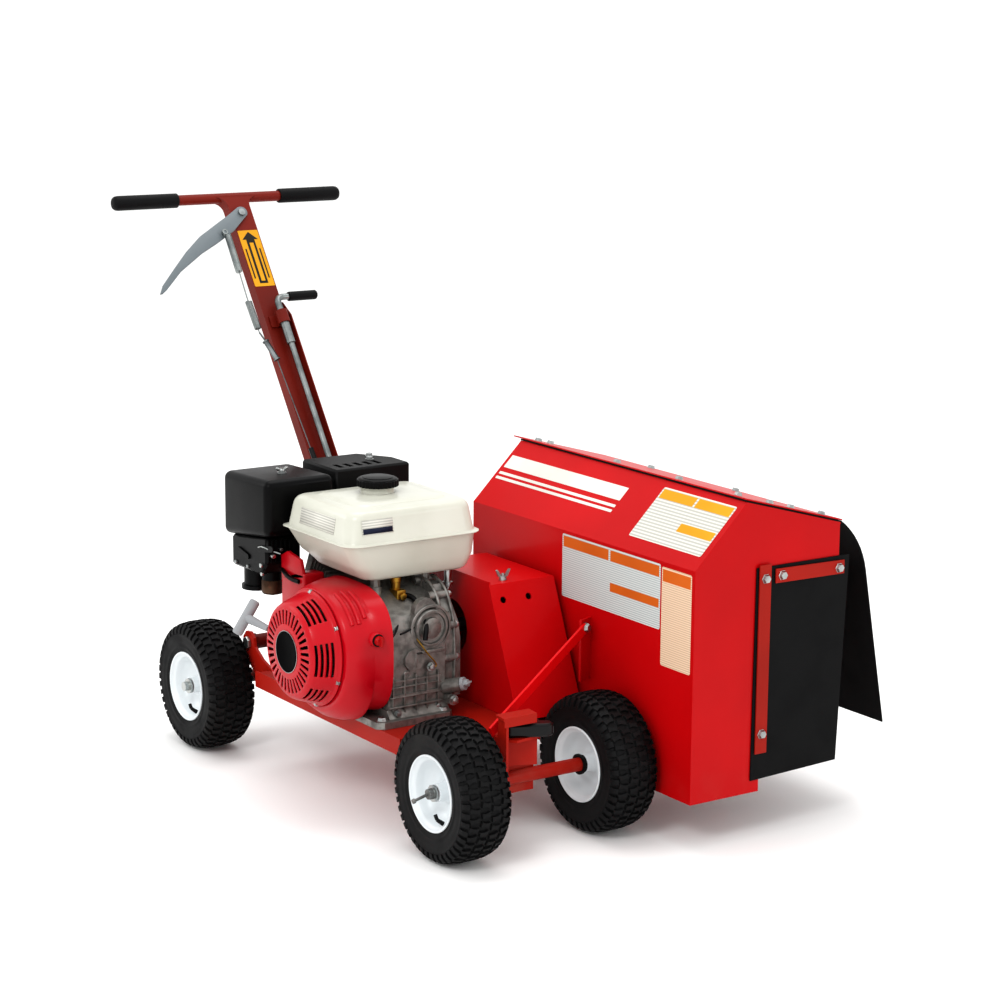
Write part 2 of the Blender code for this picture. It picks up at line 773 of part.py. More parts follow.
def makeClutchCable():
    # ferrule that takes the wire, and the sheathed cable down to the belt guard
    top = columnPoint(cableEntry[0], cableEntry[1], linkPlane)
    turnLow = columnPoint(turnEnd[0], turnEnd[1], linkPlane)
    along = (top - turnLow).normalized()
    form = bmesh.new()
    bore = 0.0037
    profile = [(bore, 0.0), (0.0053, 0.0), (0.0053, 0.060), (0.0004, 0.060), (0.0004, 0.056),
               (bore, 0.056)]
    addTurned(form, profile, 10, along, top)
    cable = place("clutch_cable", form, (black, 0.5, 0.0))
    end = top + along * 0.058
    route = [end, end + along * 0.035, (0.262, 0.690, 0.420), (0.285, 0.560, 0.372),
             (0.290, guardBack + 0.03, 0.360), (0.290, guardBack + gap, 0.360)]
    rest = bmesh.new()
    addSweep(rest, smoothRoute(route, 4), 0.003, 5)
    weld(cable, rest)
    return cable


def makeDepthScrew():
    # depth rod with its bent end: it slides in a sleeve on the column, moves the rear
    # arms through its block, and turns in the block
    at = columnPoint(screwX - columnX, screwPivot, screwOffset)
    carrier = pivot("depth_screw_axis", at)
    carrier.matrix_local = Matrix.Translation(at) @ columnMatrix()
    form = bmesh.new()
    reach = screwPivot - screwEnd
    addRound(form, "y", (0, -reach, 0), reach - 0.060, 0.0062, 10)
    rod = place("depth_screw", form, (zinc, 0.28, 0.95), parent=carrier)
    rest = bmesh.new()
    addRound(rest, "y", (0, -0.061, 0), 0.077, 0.0092, 10)
    addRound(rest, "y", (0, 0.014, 0), 0.018, 0.0070, 10)
    bend = 0.012
    corner = [Vector((bend - bend * math.cos(a), 0.034 + bend * math.sin(a), 0))
              for a in [math.radians(90 * i / 4) for i in range(5)]]
    addSweep(rest, [Vector((0, 0.030, 0))] + corner + [Vector((crankReach, 0.046, 0))],
             0.0070, 8)
    weld(rod, rest)
    grip = bmesh.new()
    inner = (0.0070 + gap) / math.cos(math.pi / 10)
    profile = [(inner, 0.0), (0.0095, 0.0), (0.0100, 0.003), (0.0100, 0.064),
               (0.0075, 0.067), (0.0008, 0.067), (0.0008, 0.0655), (inner, 0.0655)]
    addTurned(grip, profile, 10)
    place("crank_grip", grip, (black, 0.5, 0.0), at=(crankReach - 0.065, 0.046, 0),
          parent=carrier)
    return carrier


def addSweep(form, points, radius, sides):
    # a round bar swept along points, closed at both ends
    rings = []
    for i, point in enumerate(points):
        ahead = points[min(i + 1, len(points) - 1)] - point
        behind = point - points[max(i - 1, 0)]
        along = (ahead.normalized() + behind.normalized()).normalized()
        matrix = axisMatrix(along, point)
        ring = []
        for k in range(sides):
            angle = 2 * math.pi * k / sides
            spot = Vector((radius * math.cos(angle), radius * math.sin(angle), 0))
            ring.append(form.verts.new(matrix @ spot))
        rings.append(ring)
    for low, high in zip(rings, rings[1:]):
        shift = nearest(high, low[0])
        for k in range(sides):
            after = (k + 1) % sides
            form.faces.new((low[k], low[after], high[(after + shift) % sides],
                            high[(k + shift) % sides]))
    form.faces.new(rings[0])
    form.faces.new(rings[-1])


def nearest(ring, vert):
    gaps = [(spot.co - vert.co).length for spot in ring]
    return gaps.index(min(gaps))


def makeScrewSleeve():
    # bearing sleeve on a saddle against the column's front face
    form = bmesh.new()
    bore = 0.0092 + 0.0008
    profile = [(bore, -0.014), (0.0125, -0.014), (0.0125, 0.014), (bore, 0.014)]
    addTurned(form, profile, 12, "y")
    matrix = columnMatrix()
    at = columnPoint(screwX - columnX, screwPivot, screwOffset)
    sleeve = place("screw_sleeve", form, (columnRed, 0.4, 0.0), at=at, matrix=matrix)
    rest = bmesh.new()
    face = columnDepth / 2 + gap - screwOffset
    saddle = [(-0.022, face), (0.0165, face), (0.0165, face + 0.004), (0.008, face + 0.004),
              (0.008, -0.0108), (-0.008, -0.0108), (-0.008, face + 0.004),
              (-0.022, face + 0.004)]
    addPrism(rest, "y", saddle, -0.014, 0.012)
    weld(sleeve, rest)
    return sleeve


def makeDepthNut():
    # threaded block on the rod's lower end, between the horns of the rear arms
    at = columnPoint(screwX - columnX, nutPlace, screwOffset)
    form = bmesh.new()
    bore = (0.0062 + 0.0005) / math.cos(math.pi / 6)
    profile = [(bore, -0.013), (0.0150, -0.013), (0.0150, 0.013), (bore, 0.013)]
    addTurned(form, profile, 6, "y")
    nut = place("depth_nut", form, (steel, 0.4, 0.9), at=at, matrix=columnMatrix())
    rest = bmesh.new()
    for side in (-1, 1):
        start = (side * 0.0115, 0, 0)
        addRound(rest, Vector((side, 0, 0)), start, hornInner + hornThick - 0.0095, 0.0055, 12)
    weld(nut, rest)
    return nut


def makeRearAxle():
    # axle tube on two trailing arms, with slotted horns that the depth nut moves
    axleY = rearLeftWheel[1] - armPivotY
    axleZ = axleHeight - armPivotZ
    form = bmesh.new()
    left = earLeft + earThick + 0.0025
    right = earRight - 0.0025
    addRound(form, "x", (left, axleY, axleZ), right - left, axleRadius, 12)
    axle = place("rear_axle", form, (frameRed, 0.45, 0.0), parent=armPivot)
    rest = bmesh.new()
    for start in (rearLeftWheel[0] - 0.050, right - 0.02):
        addRound(rest, "x", (start, axleY, axleZ), 0.130, stubRadius, 10)
    addRound(rest, "x", (rearLeftWheel[0] - 0.0405, axleY, axleZ), 0.0035, 0.0155, 10)
    addRound(rest, "x", (rearRightWheel[0] + 0.0370, axleY, axleZ), 0.0035, 0.0155, 10)
    addRound(rest, "x", (left - 0.0005, 0, 0), right - left + 0.001, 0.0150, 10)
    for low in (left, right - 0.007):
        addBar(rest, (0, 0), (axleY, axleZ), 0.017, low, low + 0.007)
    nut = columnPoint(0, nutPlace, screwOffset)
    horn = Vector((nut.y - armPivotY, nut.z - armPivotZ))
    tip = horn * (1 + 0.008 / horn.length)
    for low in (screwX - hornInner - hornThick, screwX + hornInner):
        addBar(rest, (0, 0), tip, 0.015, low, low + hornThick)
    weld(axle, rest)
    holes = bmesh.new()
    addRound(holes, "x", (-0.05, 0, 0), 0.50, 0.0090, 10)
    along = horn.normalized()
    for low in (screwX - hornInner - hornThick, screwX + hornInner):
        start = horn - along * 0.004
        end = horn + along * 0.005
        addBar(holes, start, end, 0.0062, low - 0.002, low + hornThick + 0.002)
    cut(axle, holes)
    return axle


def addBar(form, start, end, halfWidth, low, high):
    # a flat bar with round ends between two (y, z) points
    run = Vector((end[0] - start[0], end[1] - start[1]))
    angle = math.degrees(math.atan2(run.y, run.x))
    outline = arc(start, halfWidth, angle + 90, angle + 270, 4)
    outline += arc(end, halfWidth, angle - 90, angle + 90, 4)
    addPrism(form, "x", outline, low, high)


def makeArmPin():
    # bolt through the frame's ears that the rear arms turn on
    form = bmesh.new()
    length = earRight + earThick - earLeft + 0.008
    addRound(form, "x", (earLeft - 0.004, armPivotY, armPivotZ), length, 0.0080, 14)
    pin = place("arm_pivot_bolt", form, (zinc, 0.3, 0.9))
    heads = bmesh.new()
    addHex(heads, "x", (earLeft - gap - 0.007, armPivotY, armPivotZ), 0.0070, 0.022)
    addHex(heads, "x", (earRight + earThick + gap, armPivotY, armPivotZ), 0.0070, 0.022)
    weld(pin, heads)
    return pin


def hoodOutline():
    # closed outline of the sheet: outer points, then inner ones back
    wall = hoodWall
    return [(hoodLeft, hoodLow), hoodFold, hoodTop, hoodFar, (hoodFar[0], hoodFar[1] - wall),
            (hoodTop[0] + 0.0006, hoodTop[1] - wall), (hoodFold[0] + wall, hoodFold[1] - 0.0012),
            (hoodLeft + wall, hoodLow)]


def makeHood():
    # folded shell, open below and to the right, with end walls; the front one is
    # cut away where the end flap hangs
    form = bmesh.new()
    addPrism(form, "y", hoodOutline(), hoodFront, hoodBack)
    hood = place("hood_shell", form, (red, 0.28, 0.0))
    rest = bmesh.new()
    front = [
        (hoodLeft + 0.001, hoodLow), (openingLeft, hoodLow), (openingLeft, openingTop),
        (hoodFar[0] - 0.001, openingTop), (hoodFar[0] - 0.001, hoodFar[1] - 0.001),
        (hoodTop[0], hoodTop[1] - 0.001), (hoodFold[0] + 0.001, hoodFold[1] - 0.0005),
    ]
    back = [
        (hoodLeft + 0.001, hoodLow), (hoodLeft + 0.060, hoodLow), (hoodLeft + 0.110, 0.150),
        (hoodFar[0] - 0.001, 0.150), (hoodFar[0] - 0.001, hoodFar[1] - 0.001),
        (hoodTop[0], hoodTop[1] - 0.001), (hoodFold[0] + 0.001, hoodFold[1] - 0.0005),
    ]
    addPrism(rest, "y", front, hoodFront, hoodFront + hoodWall)
    addPrism(rest, "y", back, hoodBack - hoodWall, hoodBack)
    run, broad, side = braceFrame()
    flat = Vector((run.x, run.y, 0)).normalized()
    face = Vector(braceTop) - side * (braceThick / 2 + gap)
    reach = (hoodLeft + 0.001 - face.x) / flat.x
    lug = [face + flat * reach, face + flat * 0.010, face + flat * 0.010 - side * 0.005,
           face + flat * reach - side * 0.005]
    addPrism(rest, "z", [(spot.x, spot.y) for spot in lug], 0.246, 0.362)
    lip = [(hoodLeft + 0.001, hoodLow), (hoodLeft + 0.020, hoodLow),
           (hoodLeft + 0.020, hoodLow + hoodWall), (hoodLeft + 0.001, hoodLow + hoodWall)]
    addPrism(rest, "y", lip, hoodFront + 0.001, hoodBack - 0.001)
    weld(hood, rest)
    holes = bmesh.new()
    addRound(holes, "x", (hoodLeft - 0.02, rotorY, rotorZ), 0.04, shaftRadius + 0.004, 12)
    cut(hood, holes)
    return hood


def roofDirection():
    return Vector((hoodFar[0] - hoodTop[0], 0, hoodFar[1] - hoodTop[1])).normalized()


def roofPoint(reach, height):
    # reach along the roof from its upper fold, height above the sheet, as (x, z)
    along = roofDirection()
    return (hoodTop[0] + along.x * reach - along.z * height,
            hoodTop[1] + along.z * reach + along.x * height)


def makeRoofPlate():
    # plate that clamps the side flap on the roof; it reaches past the back end
    low = rubber + 2 * gap
    high = low + roofPlateThick
    width = (Vector(hoodFar) - Vector(hoodTop)).length
    outline = [roofPoint(-0.004, low), roofPoint(width, low), roofPoint(width, high),
               roofPoint(-0.004, high)]
    form = bmesh.new()
    addPrism(form, "y", outline, hoodFront - 0.003, hoodBack + 0.022)
    plate = place("roof_plate", form, (red, 0.25, 0.0))
    along = roofDirection()
    up = Vector((-along.z, 0, along.x))
    rest = bmesh.new()
    for reach, y in ((0.030, 0.490), (0.060, 0.490), (0.030, 0.230), (0.030, 0.040),
                     (0.030, -0.130), (0.060, -0.182), (0.110, -0.182), (0.185, -0.182),
                     (0.185, 0.060), (0.185, 0.320)):
        x, z = roofPoint(reach, high - 0.0005)
        addBoltHead(rest, up, (x, y, z), 0.0110)
    weld(plate, rest)
    return plate


def flapCurve():
    # middle line of the side flap below the roof's far edge, as (x, z)
    width = (Vector(hoodFar) - Vector(hoodTop)).length
    start = roofPoint(width + 0.001, gap + rubber / 2)
    radius = 0.155
    turnFrom = 35.0
    turnTo = 79.3
    points = [start]
    for i in range(1, 9):
        bend = math.radians(turnFrom + (turnTo - turnFrom) * i / 8)
        first = math.radians(turnFrom)
        points.append((start[0] + radius * (math.sin(bend) - math.sin(first)),
                       start[1] - radius * (math.cos(first) - math.cos(bend))))
    slope = math.radians(turnTo)
    for reach in (0.10, 0.20, 0.30):
        last = points[8]
        points.append((last[0] + reach * math.cos(slope), last[1] - reach * math.sin(slope)))
    return points


def thicken(line, thick):
    # closed outline round a line of (x, z) points
    left = []
    right = []
    for i, point in enumerate(line):
        ahead = line[min(i + 1, len(line) - 1)]
        behind = line[max(i - 1, 0)]
        run = Vector((ahead[0] - behind[0], ahead[1] - behind[1])).normalized()
        left.append((point[0] - run.y * thick / 2, point[1] + run.x * thick / 2))
        right.append((point[0] + run.y * thick / 2, point[1] - run.x * thick / 2))
    return left + right[::-1]


def makeSideFlap():
    # rubber sheet clamped under the roof plate, flared out down the open side
    width = (Vector(hoodFar) - Vector(hoodTop)).length
    middle = gap + rubber / 2
    curve = flapCurve()
    edge = curve[0]
    carrier = pivot("side_flap_hinge", (edge[0], 0, edge[1]))
    outline = [(x - edge[0], z - edge[1]) for x, z in thicken(curve, rubber)]
    form = bmesh.new()
    addPrism(form, "y", outline, hoodFront + 0.001, hoodBack - 0.002)
    place("side_flap", form, (rubberBlack, 0.8, 0.0), parent=carrier)
    held = [roofPoint(-0.002, middle), roofPoint(width - 0.002, middle)]
    strip = bmesh.new()
    addPrism(strip, "y", thicken(held, rubber), hoodFront, hoodBack)
    place("flap_edge", strip, (rubberBlack, 0.8, 0.0))
    return carrier


def makeEndFlap():
    # rubber sheet behind two clamp strips on the front end, each with its bolt heads
    outline = [(0.506, 0.108), (0.705, 0.115), (0.722, 0.4975), (0.508, 0.4975)]
    form = bmesh.new()
    back = hoodFront - gap
    addPrism(form, "y", outline, back - rubber, back)
    place("end_flap", form, (rubberBlack, 0.8, 0.0))
    face = back - rubber - gap
    upright = bmesh.new()
    addBox(upright, (0.5125, face - 0.003, 0.157), (0.5385, face, 0.5025))
    side = place("flap_strip_side", upright, (red, 0.3, 0.0))
    level = bmesh.new()
    bar = [(0.549, 0.466), (0.708, 0.4645), (0.708, 0.4895), (0.549, 0.4920)]
    addPrism(level, "y", bar, face - 0.003, face)
    top = place("flap_strip_top", level, (red, 0.3, 0.0))
    heads = {side: ((0.5262, 0.4770), (0.5258, 0.1930)),
             top: ((0.5640, 0.4790), (0.6960, 0.4760))}
    for strip, spots in heads.items():
        rest = bmesh.new()
        for x, z in spots:
            addBoltHead(rest, Vector((0, -1, 0)), (x, face - 0.0025, z), 0.0127)
        weld(strip, rest)


def addBoltHead(form, axis, at, acrossFlats):
    # washer and hex head as one body
    matrix = axisMatrix(axis, at)
    corner = acrossFlats / math.sqrt(3)
    rows = []
    for height, radius in ((0.0, corner * 1.25), (0.0018, corner * 1.15), (0.0064, corner * 0.95)):
        row = []
        for i in range(6):
            angle = math.pi * i / 3
            spot = Vector((radius * math.cos(angle), radius * math.sin(angle), height))
            row.append(form.verts.new(matrix @ spot))
        rows.append(row)
    joinRows(form, rows)


def makeGuard():
    # sheet-metal belt guard with a sloping front and two holes in it
    slope = [(0.1155, guardLow), (0.213, guardTop), (guardBack, guardTop),
             (guardBack, guardLow)]
    form = bmesh.new()
    addPrism(form, "x", slope, guardLeft, guardRight)
    guard = place("belt_guard", form, (red, 0.3, 0.0))
    wall = 0.0025
    room = [(0.1155 + wall * 1.1, guardLow - 0.01), (0.213 + wall * 0.6, guardTop - wall),
            (guardBack - wall, guardTop - wall), (guardBack - wall, guardLow - 0.01)]
    hollow = bmesh.new()
    addPrism(hollow, "x", room, guardLeft + wall, guardRight - wall)
    addRound(hollow, "x", (guardLeft - 0.01, crankY, crankZ), 0.02, 0.052, 16)
    addRound(hollow, "x", (guardRight - 0.01, rotorY, rotorZ), 0.02, 0.0165, 12)
    outward = Vector((0, -0.9035, 0.4286))
    for x, z in ((0.240, 0.392), (0.296, 0.392)):
        y = 0.1155 + (z - guardLow) * (0.213 - 0.1155) / (guardTop - guardLow)
        addRound(hollow, outward, Vector((x, y, z)) - outward * 0.01, 0.02, 0.0065, 8)
    cut(guard, hollow)
    rest = bmesh.new()
    lip = [(0.213, guardTop - 0.001), (0.213, guardTop + 0.006), (guardBack, guardTop + 0.006),
           (guardBack, guardTop - 0.001)]
    addPrism(rest, "x", lip, guardLeft, guardLeft + 0.003)
    weld(guard, rest)
    return guard


def makeWingNut():
    spot = (0.262, 0.236, guardTop + gap)
    form = bmesh.new()
    addRound(form, "z", (0, 0, 0), 0.0070, 0.0075, 14, 0.0060)
    nut = place("wing_nut", form, (brass, 0.4, 0.8), at=spot)
    rest = bmesh.new()
    for side in (-1, 1):
        wing = [(side * 0.002, 0.0030), (side * 0.010, 0.0060), (side * 0.0165, 0.0190),
                (side * 0.0125, 0.0200), (side * 0.002, 0.0068)]
        addPrism(rest, "y", wing, -0.0014, 0.0014)
    addRound(rest, "z", (0, 0, 0.006), 0.006, 0.0030, 10)
    weld(nut, rest)
    return nut


def sheaveProfile(radius, bore, width=0.022):
    # V-belt sheave: rims, groove and a hub
    half = width / 2
    return [(bore, -half - 0.006), (0.024, -half - 0.006), (0.024, -half), (radius, -half),
            (radius, -half + 0.002), (radius - 0.014, -0.0045), (radius - 0.014, 0.0045),
            (radius, half - 0.002),
            (radius, half), (bore, half)]


def makeDrive():
    # crankshaft with flywheel and sheave; rotor shaft with its sheave; belt and idler
    crank = pivot("crank_axis", (0, crankY, crankZ))
    form = bmesh.new()
    addRound(form, "x", (-0.095, 0, 0), beltX + 0.016 + 0.095, shaftRadius, 16)
    shaft = place("crankshaft", form, (steel, 0.35, 1.0), parent=crank)
    wheel = bmesh.new()
    profile = [(0.010, -0.066), (0.060, -0.070), (0.096, -0.066), (0.100, -0.060),
               (0.100, -0.034), (0.085, -0.030), (0.010, -0.030)]
    addTurned(wheel, profile, 16)
    for i in range(7):
        blade = [(0.070, -0.0660), (0.096, -0.0640), (0.094, -0.0780), (0.074, -0.0820)]
        verts = addPrism(wheel, "y", [(b, a) for a, b in blade], -0.0012, 0.0012)
        turn = Matrix.Rotation(2 * math.pi * (i + 0.3) / 7, 4, "X")
        bmesh.ops.transform(wheel, matrix=turn, verts=list(grow(verts)))
    addTurned(wheel, sheaveProfile(driveRadius, shaftRadius - 0.002), 16, at=(beltX, 0, 0))
    weld(shaft, wheel)
    rotor = pivot("rotor_axis", (0, rotorY, rotorZ))
    form = bmesh.new()
    addRound(form, "x", (beltX - 0.020, 0, 0), 0.640 - beltX + 0.020, shaftRadius, 16)
    shaft = place("rotor_shaft", form, (steel, 0.35, 1.0), parent=rotor)
    sheave = bmesh.new()
    addTurned(sheave, sheaveProfile(drivenRadius, shaftRadius - 0.002), 16, at=(beltX, 0, 0))
    weld(shaft, sheave)
    makeBelt()
    makeIdler()
    makeRotor(rotor)


def makeBelt():
    # V-belt round both sheaves, riding 1 mm clear of the groove floors
    centres = [(crankY, crankZ, driveRadius - 0.0115), (rotorY, rotorZ, drivenRadius - 0.0115)]
    (ay, az, ar), (by, bz, br) = centres
    run = Vector((by - ay, bz - az))
    heading = math.atan2(run.y, run.x)
    lean = math.acos((ar - br) / run.length)
    points = []
    for i in range(13):
        angle = heading + lean + (2 * math.pi - 2 * lean) * i / 12
        points.append((ay, az, ar, angle))
    for i in range(13):
        angle = heading - lean + 2 * lean * i / 12
        points.append((by, bz, br, angle))
    section = [(0.0, -0.0036), (0.0085, -0.0062), (0.0085, 0.0062), (0.0, 0.0036)]
    form = bmesh.new()
    rings = []
    for y, z, radius, angle in points:
        ring = [form.verts.new((beltX + x, y + math.cos(angle) * (radius + lift),
                                z + math.sin(angle) * (radius + lift)))
                for lift, x in section]
        rings.append(ring)
    for low, high in zip(rings, rings[1:] + rings[:1]):
        for k in range(4):
            form.faces.new((low[k], low[(k + 1) % 4], high[(k + 1) % 4], high[k]))
    place("drive_belt", form, (rubberBlack, 0.8, 0.0))


def makeIdler():
    # tension arm with a flat pulley over the belt's upper run
    carrier = pivot("idler_axis", (0, *idlerPivot))
    reach = (idlerCentre[0] - idlerPivot[0], idlerCentre[1] - idlerPivot[1])
    form = bmesh.new()
    addBar(form, (0, 0), reach, 0.012, beltX + 0.018, beltX + 0.024)
    arm = place("idler_arm", form, (steel, 0.45, 0.8), parent=carrier)
    rest = bmesh.new()
    addRound(rest, "x", (beltX + 0.012, 0, 0), guardRight - 0.0035 - beltX - 0.012, 0.008, 12)
    addRound(rest, "x", (beltX - 0.012, *reach), 0.032, 0.0050, 12)
    weld(arm, rest)
    pulley = bmesh.new()
    profile = [(0.0053, -0.010), (0.0250, -0.010), (0.0236, -0.007), (0.0236, 0.007),
               (0.0250, 0.010), (0.0053, 0.010)]
    addTurned(pulley, profile, 14)
    spot = pivot("idler_pulley_axis", (beltX, *reach), carrier)
    place("idler_pulley", pulley, (steel, 0.4, 0.9), parent=spot)


def makeRotor(rotor):
    # cutter disc with six bolted tooth plates on a hub
    form = bmesh.new()
    hub = [(shaftRadius + 0.0008, -0.030), (0.030, -0.030), (0.032, -0.006), (0.060, -0.005),
           (0.060, 0.005), (0.032, 0.006), (0.030, 0.030), (shaftRadius + 0.0008, 0.030)]
    addTurned(form, hub, 14, at=(rotorX, 0, 0))
    disc = place("cutter_rotor", form, (frameRed, 0.5, 0.3), parent=rotor)
    rest = bmesh.new()
    for i in range(6):
        arm = [(0.050, -0.022), (0.130, -0.016), (0.150, -0.012), (0.150, 0.016),
               (0.130, 0.020), (0.050, 0.022)]
        tooth = [(0.128, -0.0155), (rotorRadius - 0.004, -0.006), (rotorRadius, 0.004),
                 (rotorRadius - 0.008, 0.019), (0.128, 0.0195)]
        side = -1 if i % 2 else 1
        made = list(grow(addPrism(rest, "x", arm, rotorX - 0.0045, rotorX + 0.0045)))
        plate = list(grow(addPrism(rest, "x", tooth, rotorX + side * 0.004,
                                   rotorX + side * 0.012)))
        for vert in plate:
            out = max(0.0, vert.co.y - 0.135)
            vert.co.x += side * out * 0.55
        turn = Matrix.Rotation(math.pi * i / 3, 4, "X")
        bmesh.ops.transform(rest, matrix=turn, verts=list(set(made + plate)))
    weld(disc, rest)


def makeBearings():
    # flanged bearing housings of the rotor shaft on the hood's wall
    form = bmesh.new()
    inner = hoodLeft + hoodWall + gap
    profile = [(shaftRadius, 0.0), (0.036, 0.0), (0.036, 0.010), (0.027, 0.014),
               (0.025, 0.024), (0.018, 0.026), (shaftRadius, 0.026)]
    addTurned(form, profile, 12, at=(inner, rotorY, rotorZ))
    bearing = place("shaft_bearing", form, (aluminium, 0.5, 0.7))
    rest = bmesh.new()
    outline = arc((rotorY - 0.046, rotorZ), 0.014, 90, 270, 3)
    outline += arc((rotorY + 0.046, rotorZ), 0.014, -90, 90, 3)
    addPrism(rest, "x", outline, inner, inner + 0.009)
    weld(bearing, rest)
    hole = bmesh.new()
    addRound(hole, "x", (inner - 0.01, rotorY, rotorZ), 0.05, shaftRadius + 0.0008, 12)
    cut(bearing, hole)


def makeCrankcase():
    # cast block: base flange, ribbed case, side cover and the sloping cylinder base
    form = bmesh.new()
    left = 0.008
    right = 0.128
    case = [(0.224, 0.196), (0.430, 0.196), (0.440, 0.300), (0.462, 0.306), (0.440, 0.398),
            (0.400, 0.405), (0.345, 0.430), (0.285, 0.405), (0.236, 0.380), (0.224, 0.345)]
    addPrism(form, "x", case, left, right)
    block = place("crankcase", form, (aluminium, 0.5, 0.7))
    rest = bmesh.new()
    flange = [(baseLeft, baseFront + 0.012), (baseLeft + 0.012, baseFront),
              (baseRight - 0.012, baseFront), (baseRight, baseFront + 0.012),
              (baseRight, baseBack - 0.012), (baseRight - 0.012, baseBack),
              (baseLeft + 0.012, baseBack), (baseLeft, baseBack - 0.012)]
    addPrism(rest, "z", flange, deckTop + gap, deckTop + 0.013)
    foot = [(0.212, 0.197), (0.440, 0.197), (0.430, 0.212), (0.224, 0.212)]
    addPrism(rest, "x", foot, left - 0.004, right + 0.004)
    cover = [(0.230, 0.205), (0.424, 0.205), (0.436, 0.240), (0.436, 0.372), (0.392, 0.398),
             (0.345, 0.424), (0.274, 0.420), (0.238, 0.372), (0.230, 0.330)]
    addPrism(rest, "x", cover, right - 0.002, 0.154)
    bulge = [(0.240, 0.214), (0.414, 0.214), (0.426, 0.244), (0.426, 0.352), (0.384, 0.380),
             (0.345, 0.398), (0.280, 0.394), (0.248, 0.352), (0.240, 0.322)]
    addPrism(rest, "x", bulge, 0.1535, 0.172)
    front = Vector((0, -1, 0))
    for z in (0.235, 0.262):
        addBox(rest, (left + 0.006, 0.2195, z), (right - 0.010, 0.226, z + 0.004))
    addRound(rest, front, (0.060, 0.226, 0.300), 0.008, 0.021, 10)
    addRound(rest, front, (0.088, 0.240, 0.386), 0.014, 0.024, 12)
    for x in (0.030, 0.136):
        addRound(rest, "z", (x, 0.307, 0.400), tankBottom - gap - 0.400, 0.0095, 8)
    neck = Vector((0.55, -0.80, 0.25)).normalized()
    addRound(rest, neck, (0.126, 0.234, 0.236), 0.042, 0.0135, 10)
    addRound(rest, front, (0.135, 0.236, 0.217), 0.024, 0.0110, 8)
    addHex(rest, front, (0.135, 0.214, 0.217), 0.010, 0.017)
    addRound(rest, "x", (0.1715, crankY, crankZ), 0.0105, 0.032, 14)
    for x in (baseLeft + 0.016, baseRight - 0.016):
        for y in (baseFront + 0.018, baseBack - 0.018):
            addBoltHead(rest, "z", (x, y, deckTop + 0.0125), 0.013)
    weld(block, rest)
    bore = bmesh.new()
    addRound(bore, "x", (-0.05, crankY, crankZ), 0.30, shaftRadius + 0.0008, 12)
    cut(block, bore)
    return block


def makeCylinderHead():
    # finned head and rocker cover at the cylinder's upper end
    matrix = Matrix.Rotation(math.radians(25), 4, "X")
    form = bmesh.new()
    addBox(form, (-0.048, 0.030, -0.040), (0.048, 0.096, 0.042))
    head = place("cylinder_head", form, (aluminium, 0.5, 0.7), at=(0.062, 0.440, 0.364),
                 matrix=matrix)
    rest = bmesh.new()
    for i in range(6):
        y = 0.034 + i * 0.0100
        addBox(rest, (-0.052, y, -0.050), (0.052, y + 0.003, 0.050))
    addBox(rest, (-0.038, 0.090, -0.038), (0.038, 0.122, 0.038))
    weld(head, rest)
    return head


def makeFanCover():
    # pressed shroud: round where the recoil cover sits, squarer towards the block, with
    # the duct that leads the cooling air to the cylinder
    form = bmesh.new()
    rows = []
    for depth, front, back, top, low, power in coverRows:
        points = coverOutline(front, back, top, low, power)
        rows.append([form.verts.new((depth, y, z)) for y, z in points])
    joinRows(form, rows)
    cover = place("fan_cover", form, (coverRed, 0.35, 0.0), smooth=40)
    rest = bmesh.new()
    addRound(rest, Vector((0, -1, 0)), (switchPlace[0], 0.222, switchPlace[1]), 0.0180,
             0.0130, 16)
    duct = [(0.436, 0.335), (0.524, 0.346), (0.524, 0.408), (0.470, 0.426), (0.436, 0.428)]
    addPrism(rest, "x", duct, -0.044, -0.001)
    weld(cover, rest)
    room = bmesh.new()
    addTurned(room, [(0.0005, coverJoint - 0.01), (roomRadius, coverJoint - 0.01),
                     (roomRadius, -0.0285), (0.0005, -0.0285)], 24, at=(0, crankY, crankZ))
    addRound(room, "x", (-0.12, crankY, crankZ), 0.14, shaftRadius + 0.002, 16)
    cut(cover, room)
    return cover


def coverOutline(front, back, top, low, power):
    # outline round the crankshaft: its reach to the front, back, top and bottom, and how
    # square it is
    points = []
    for i in range(28):
        angle = 2 * math.pi * i / 28
        y = math.cos(angle)
        z = math.sin(angle)
        size = (abs(y) ** power + abs(z) ** power) ** (-1 / power)
        reachY = back if y > 0 else front
        reachZ = top if z > 0 else low
        points.append((crankY + reachY * size * y, crankZ + reachZ * size * z))
    return points


def joinRows(form, rows):
    # skins rows of points, one after the other, and caps both ends
    count = len(rows[0])
    for low, high in zip(rows, rows[1:]):
        for k in range(count):
            form.faces.new((low[k], low[(k + 1) % count], high[(k + 1) % count], high[k]))
    form.faces.new(rows[0])
    form.faces.new(rows[-1])


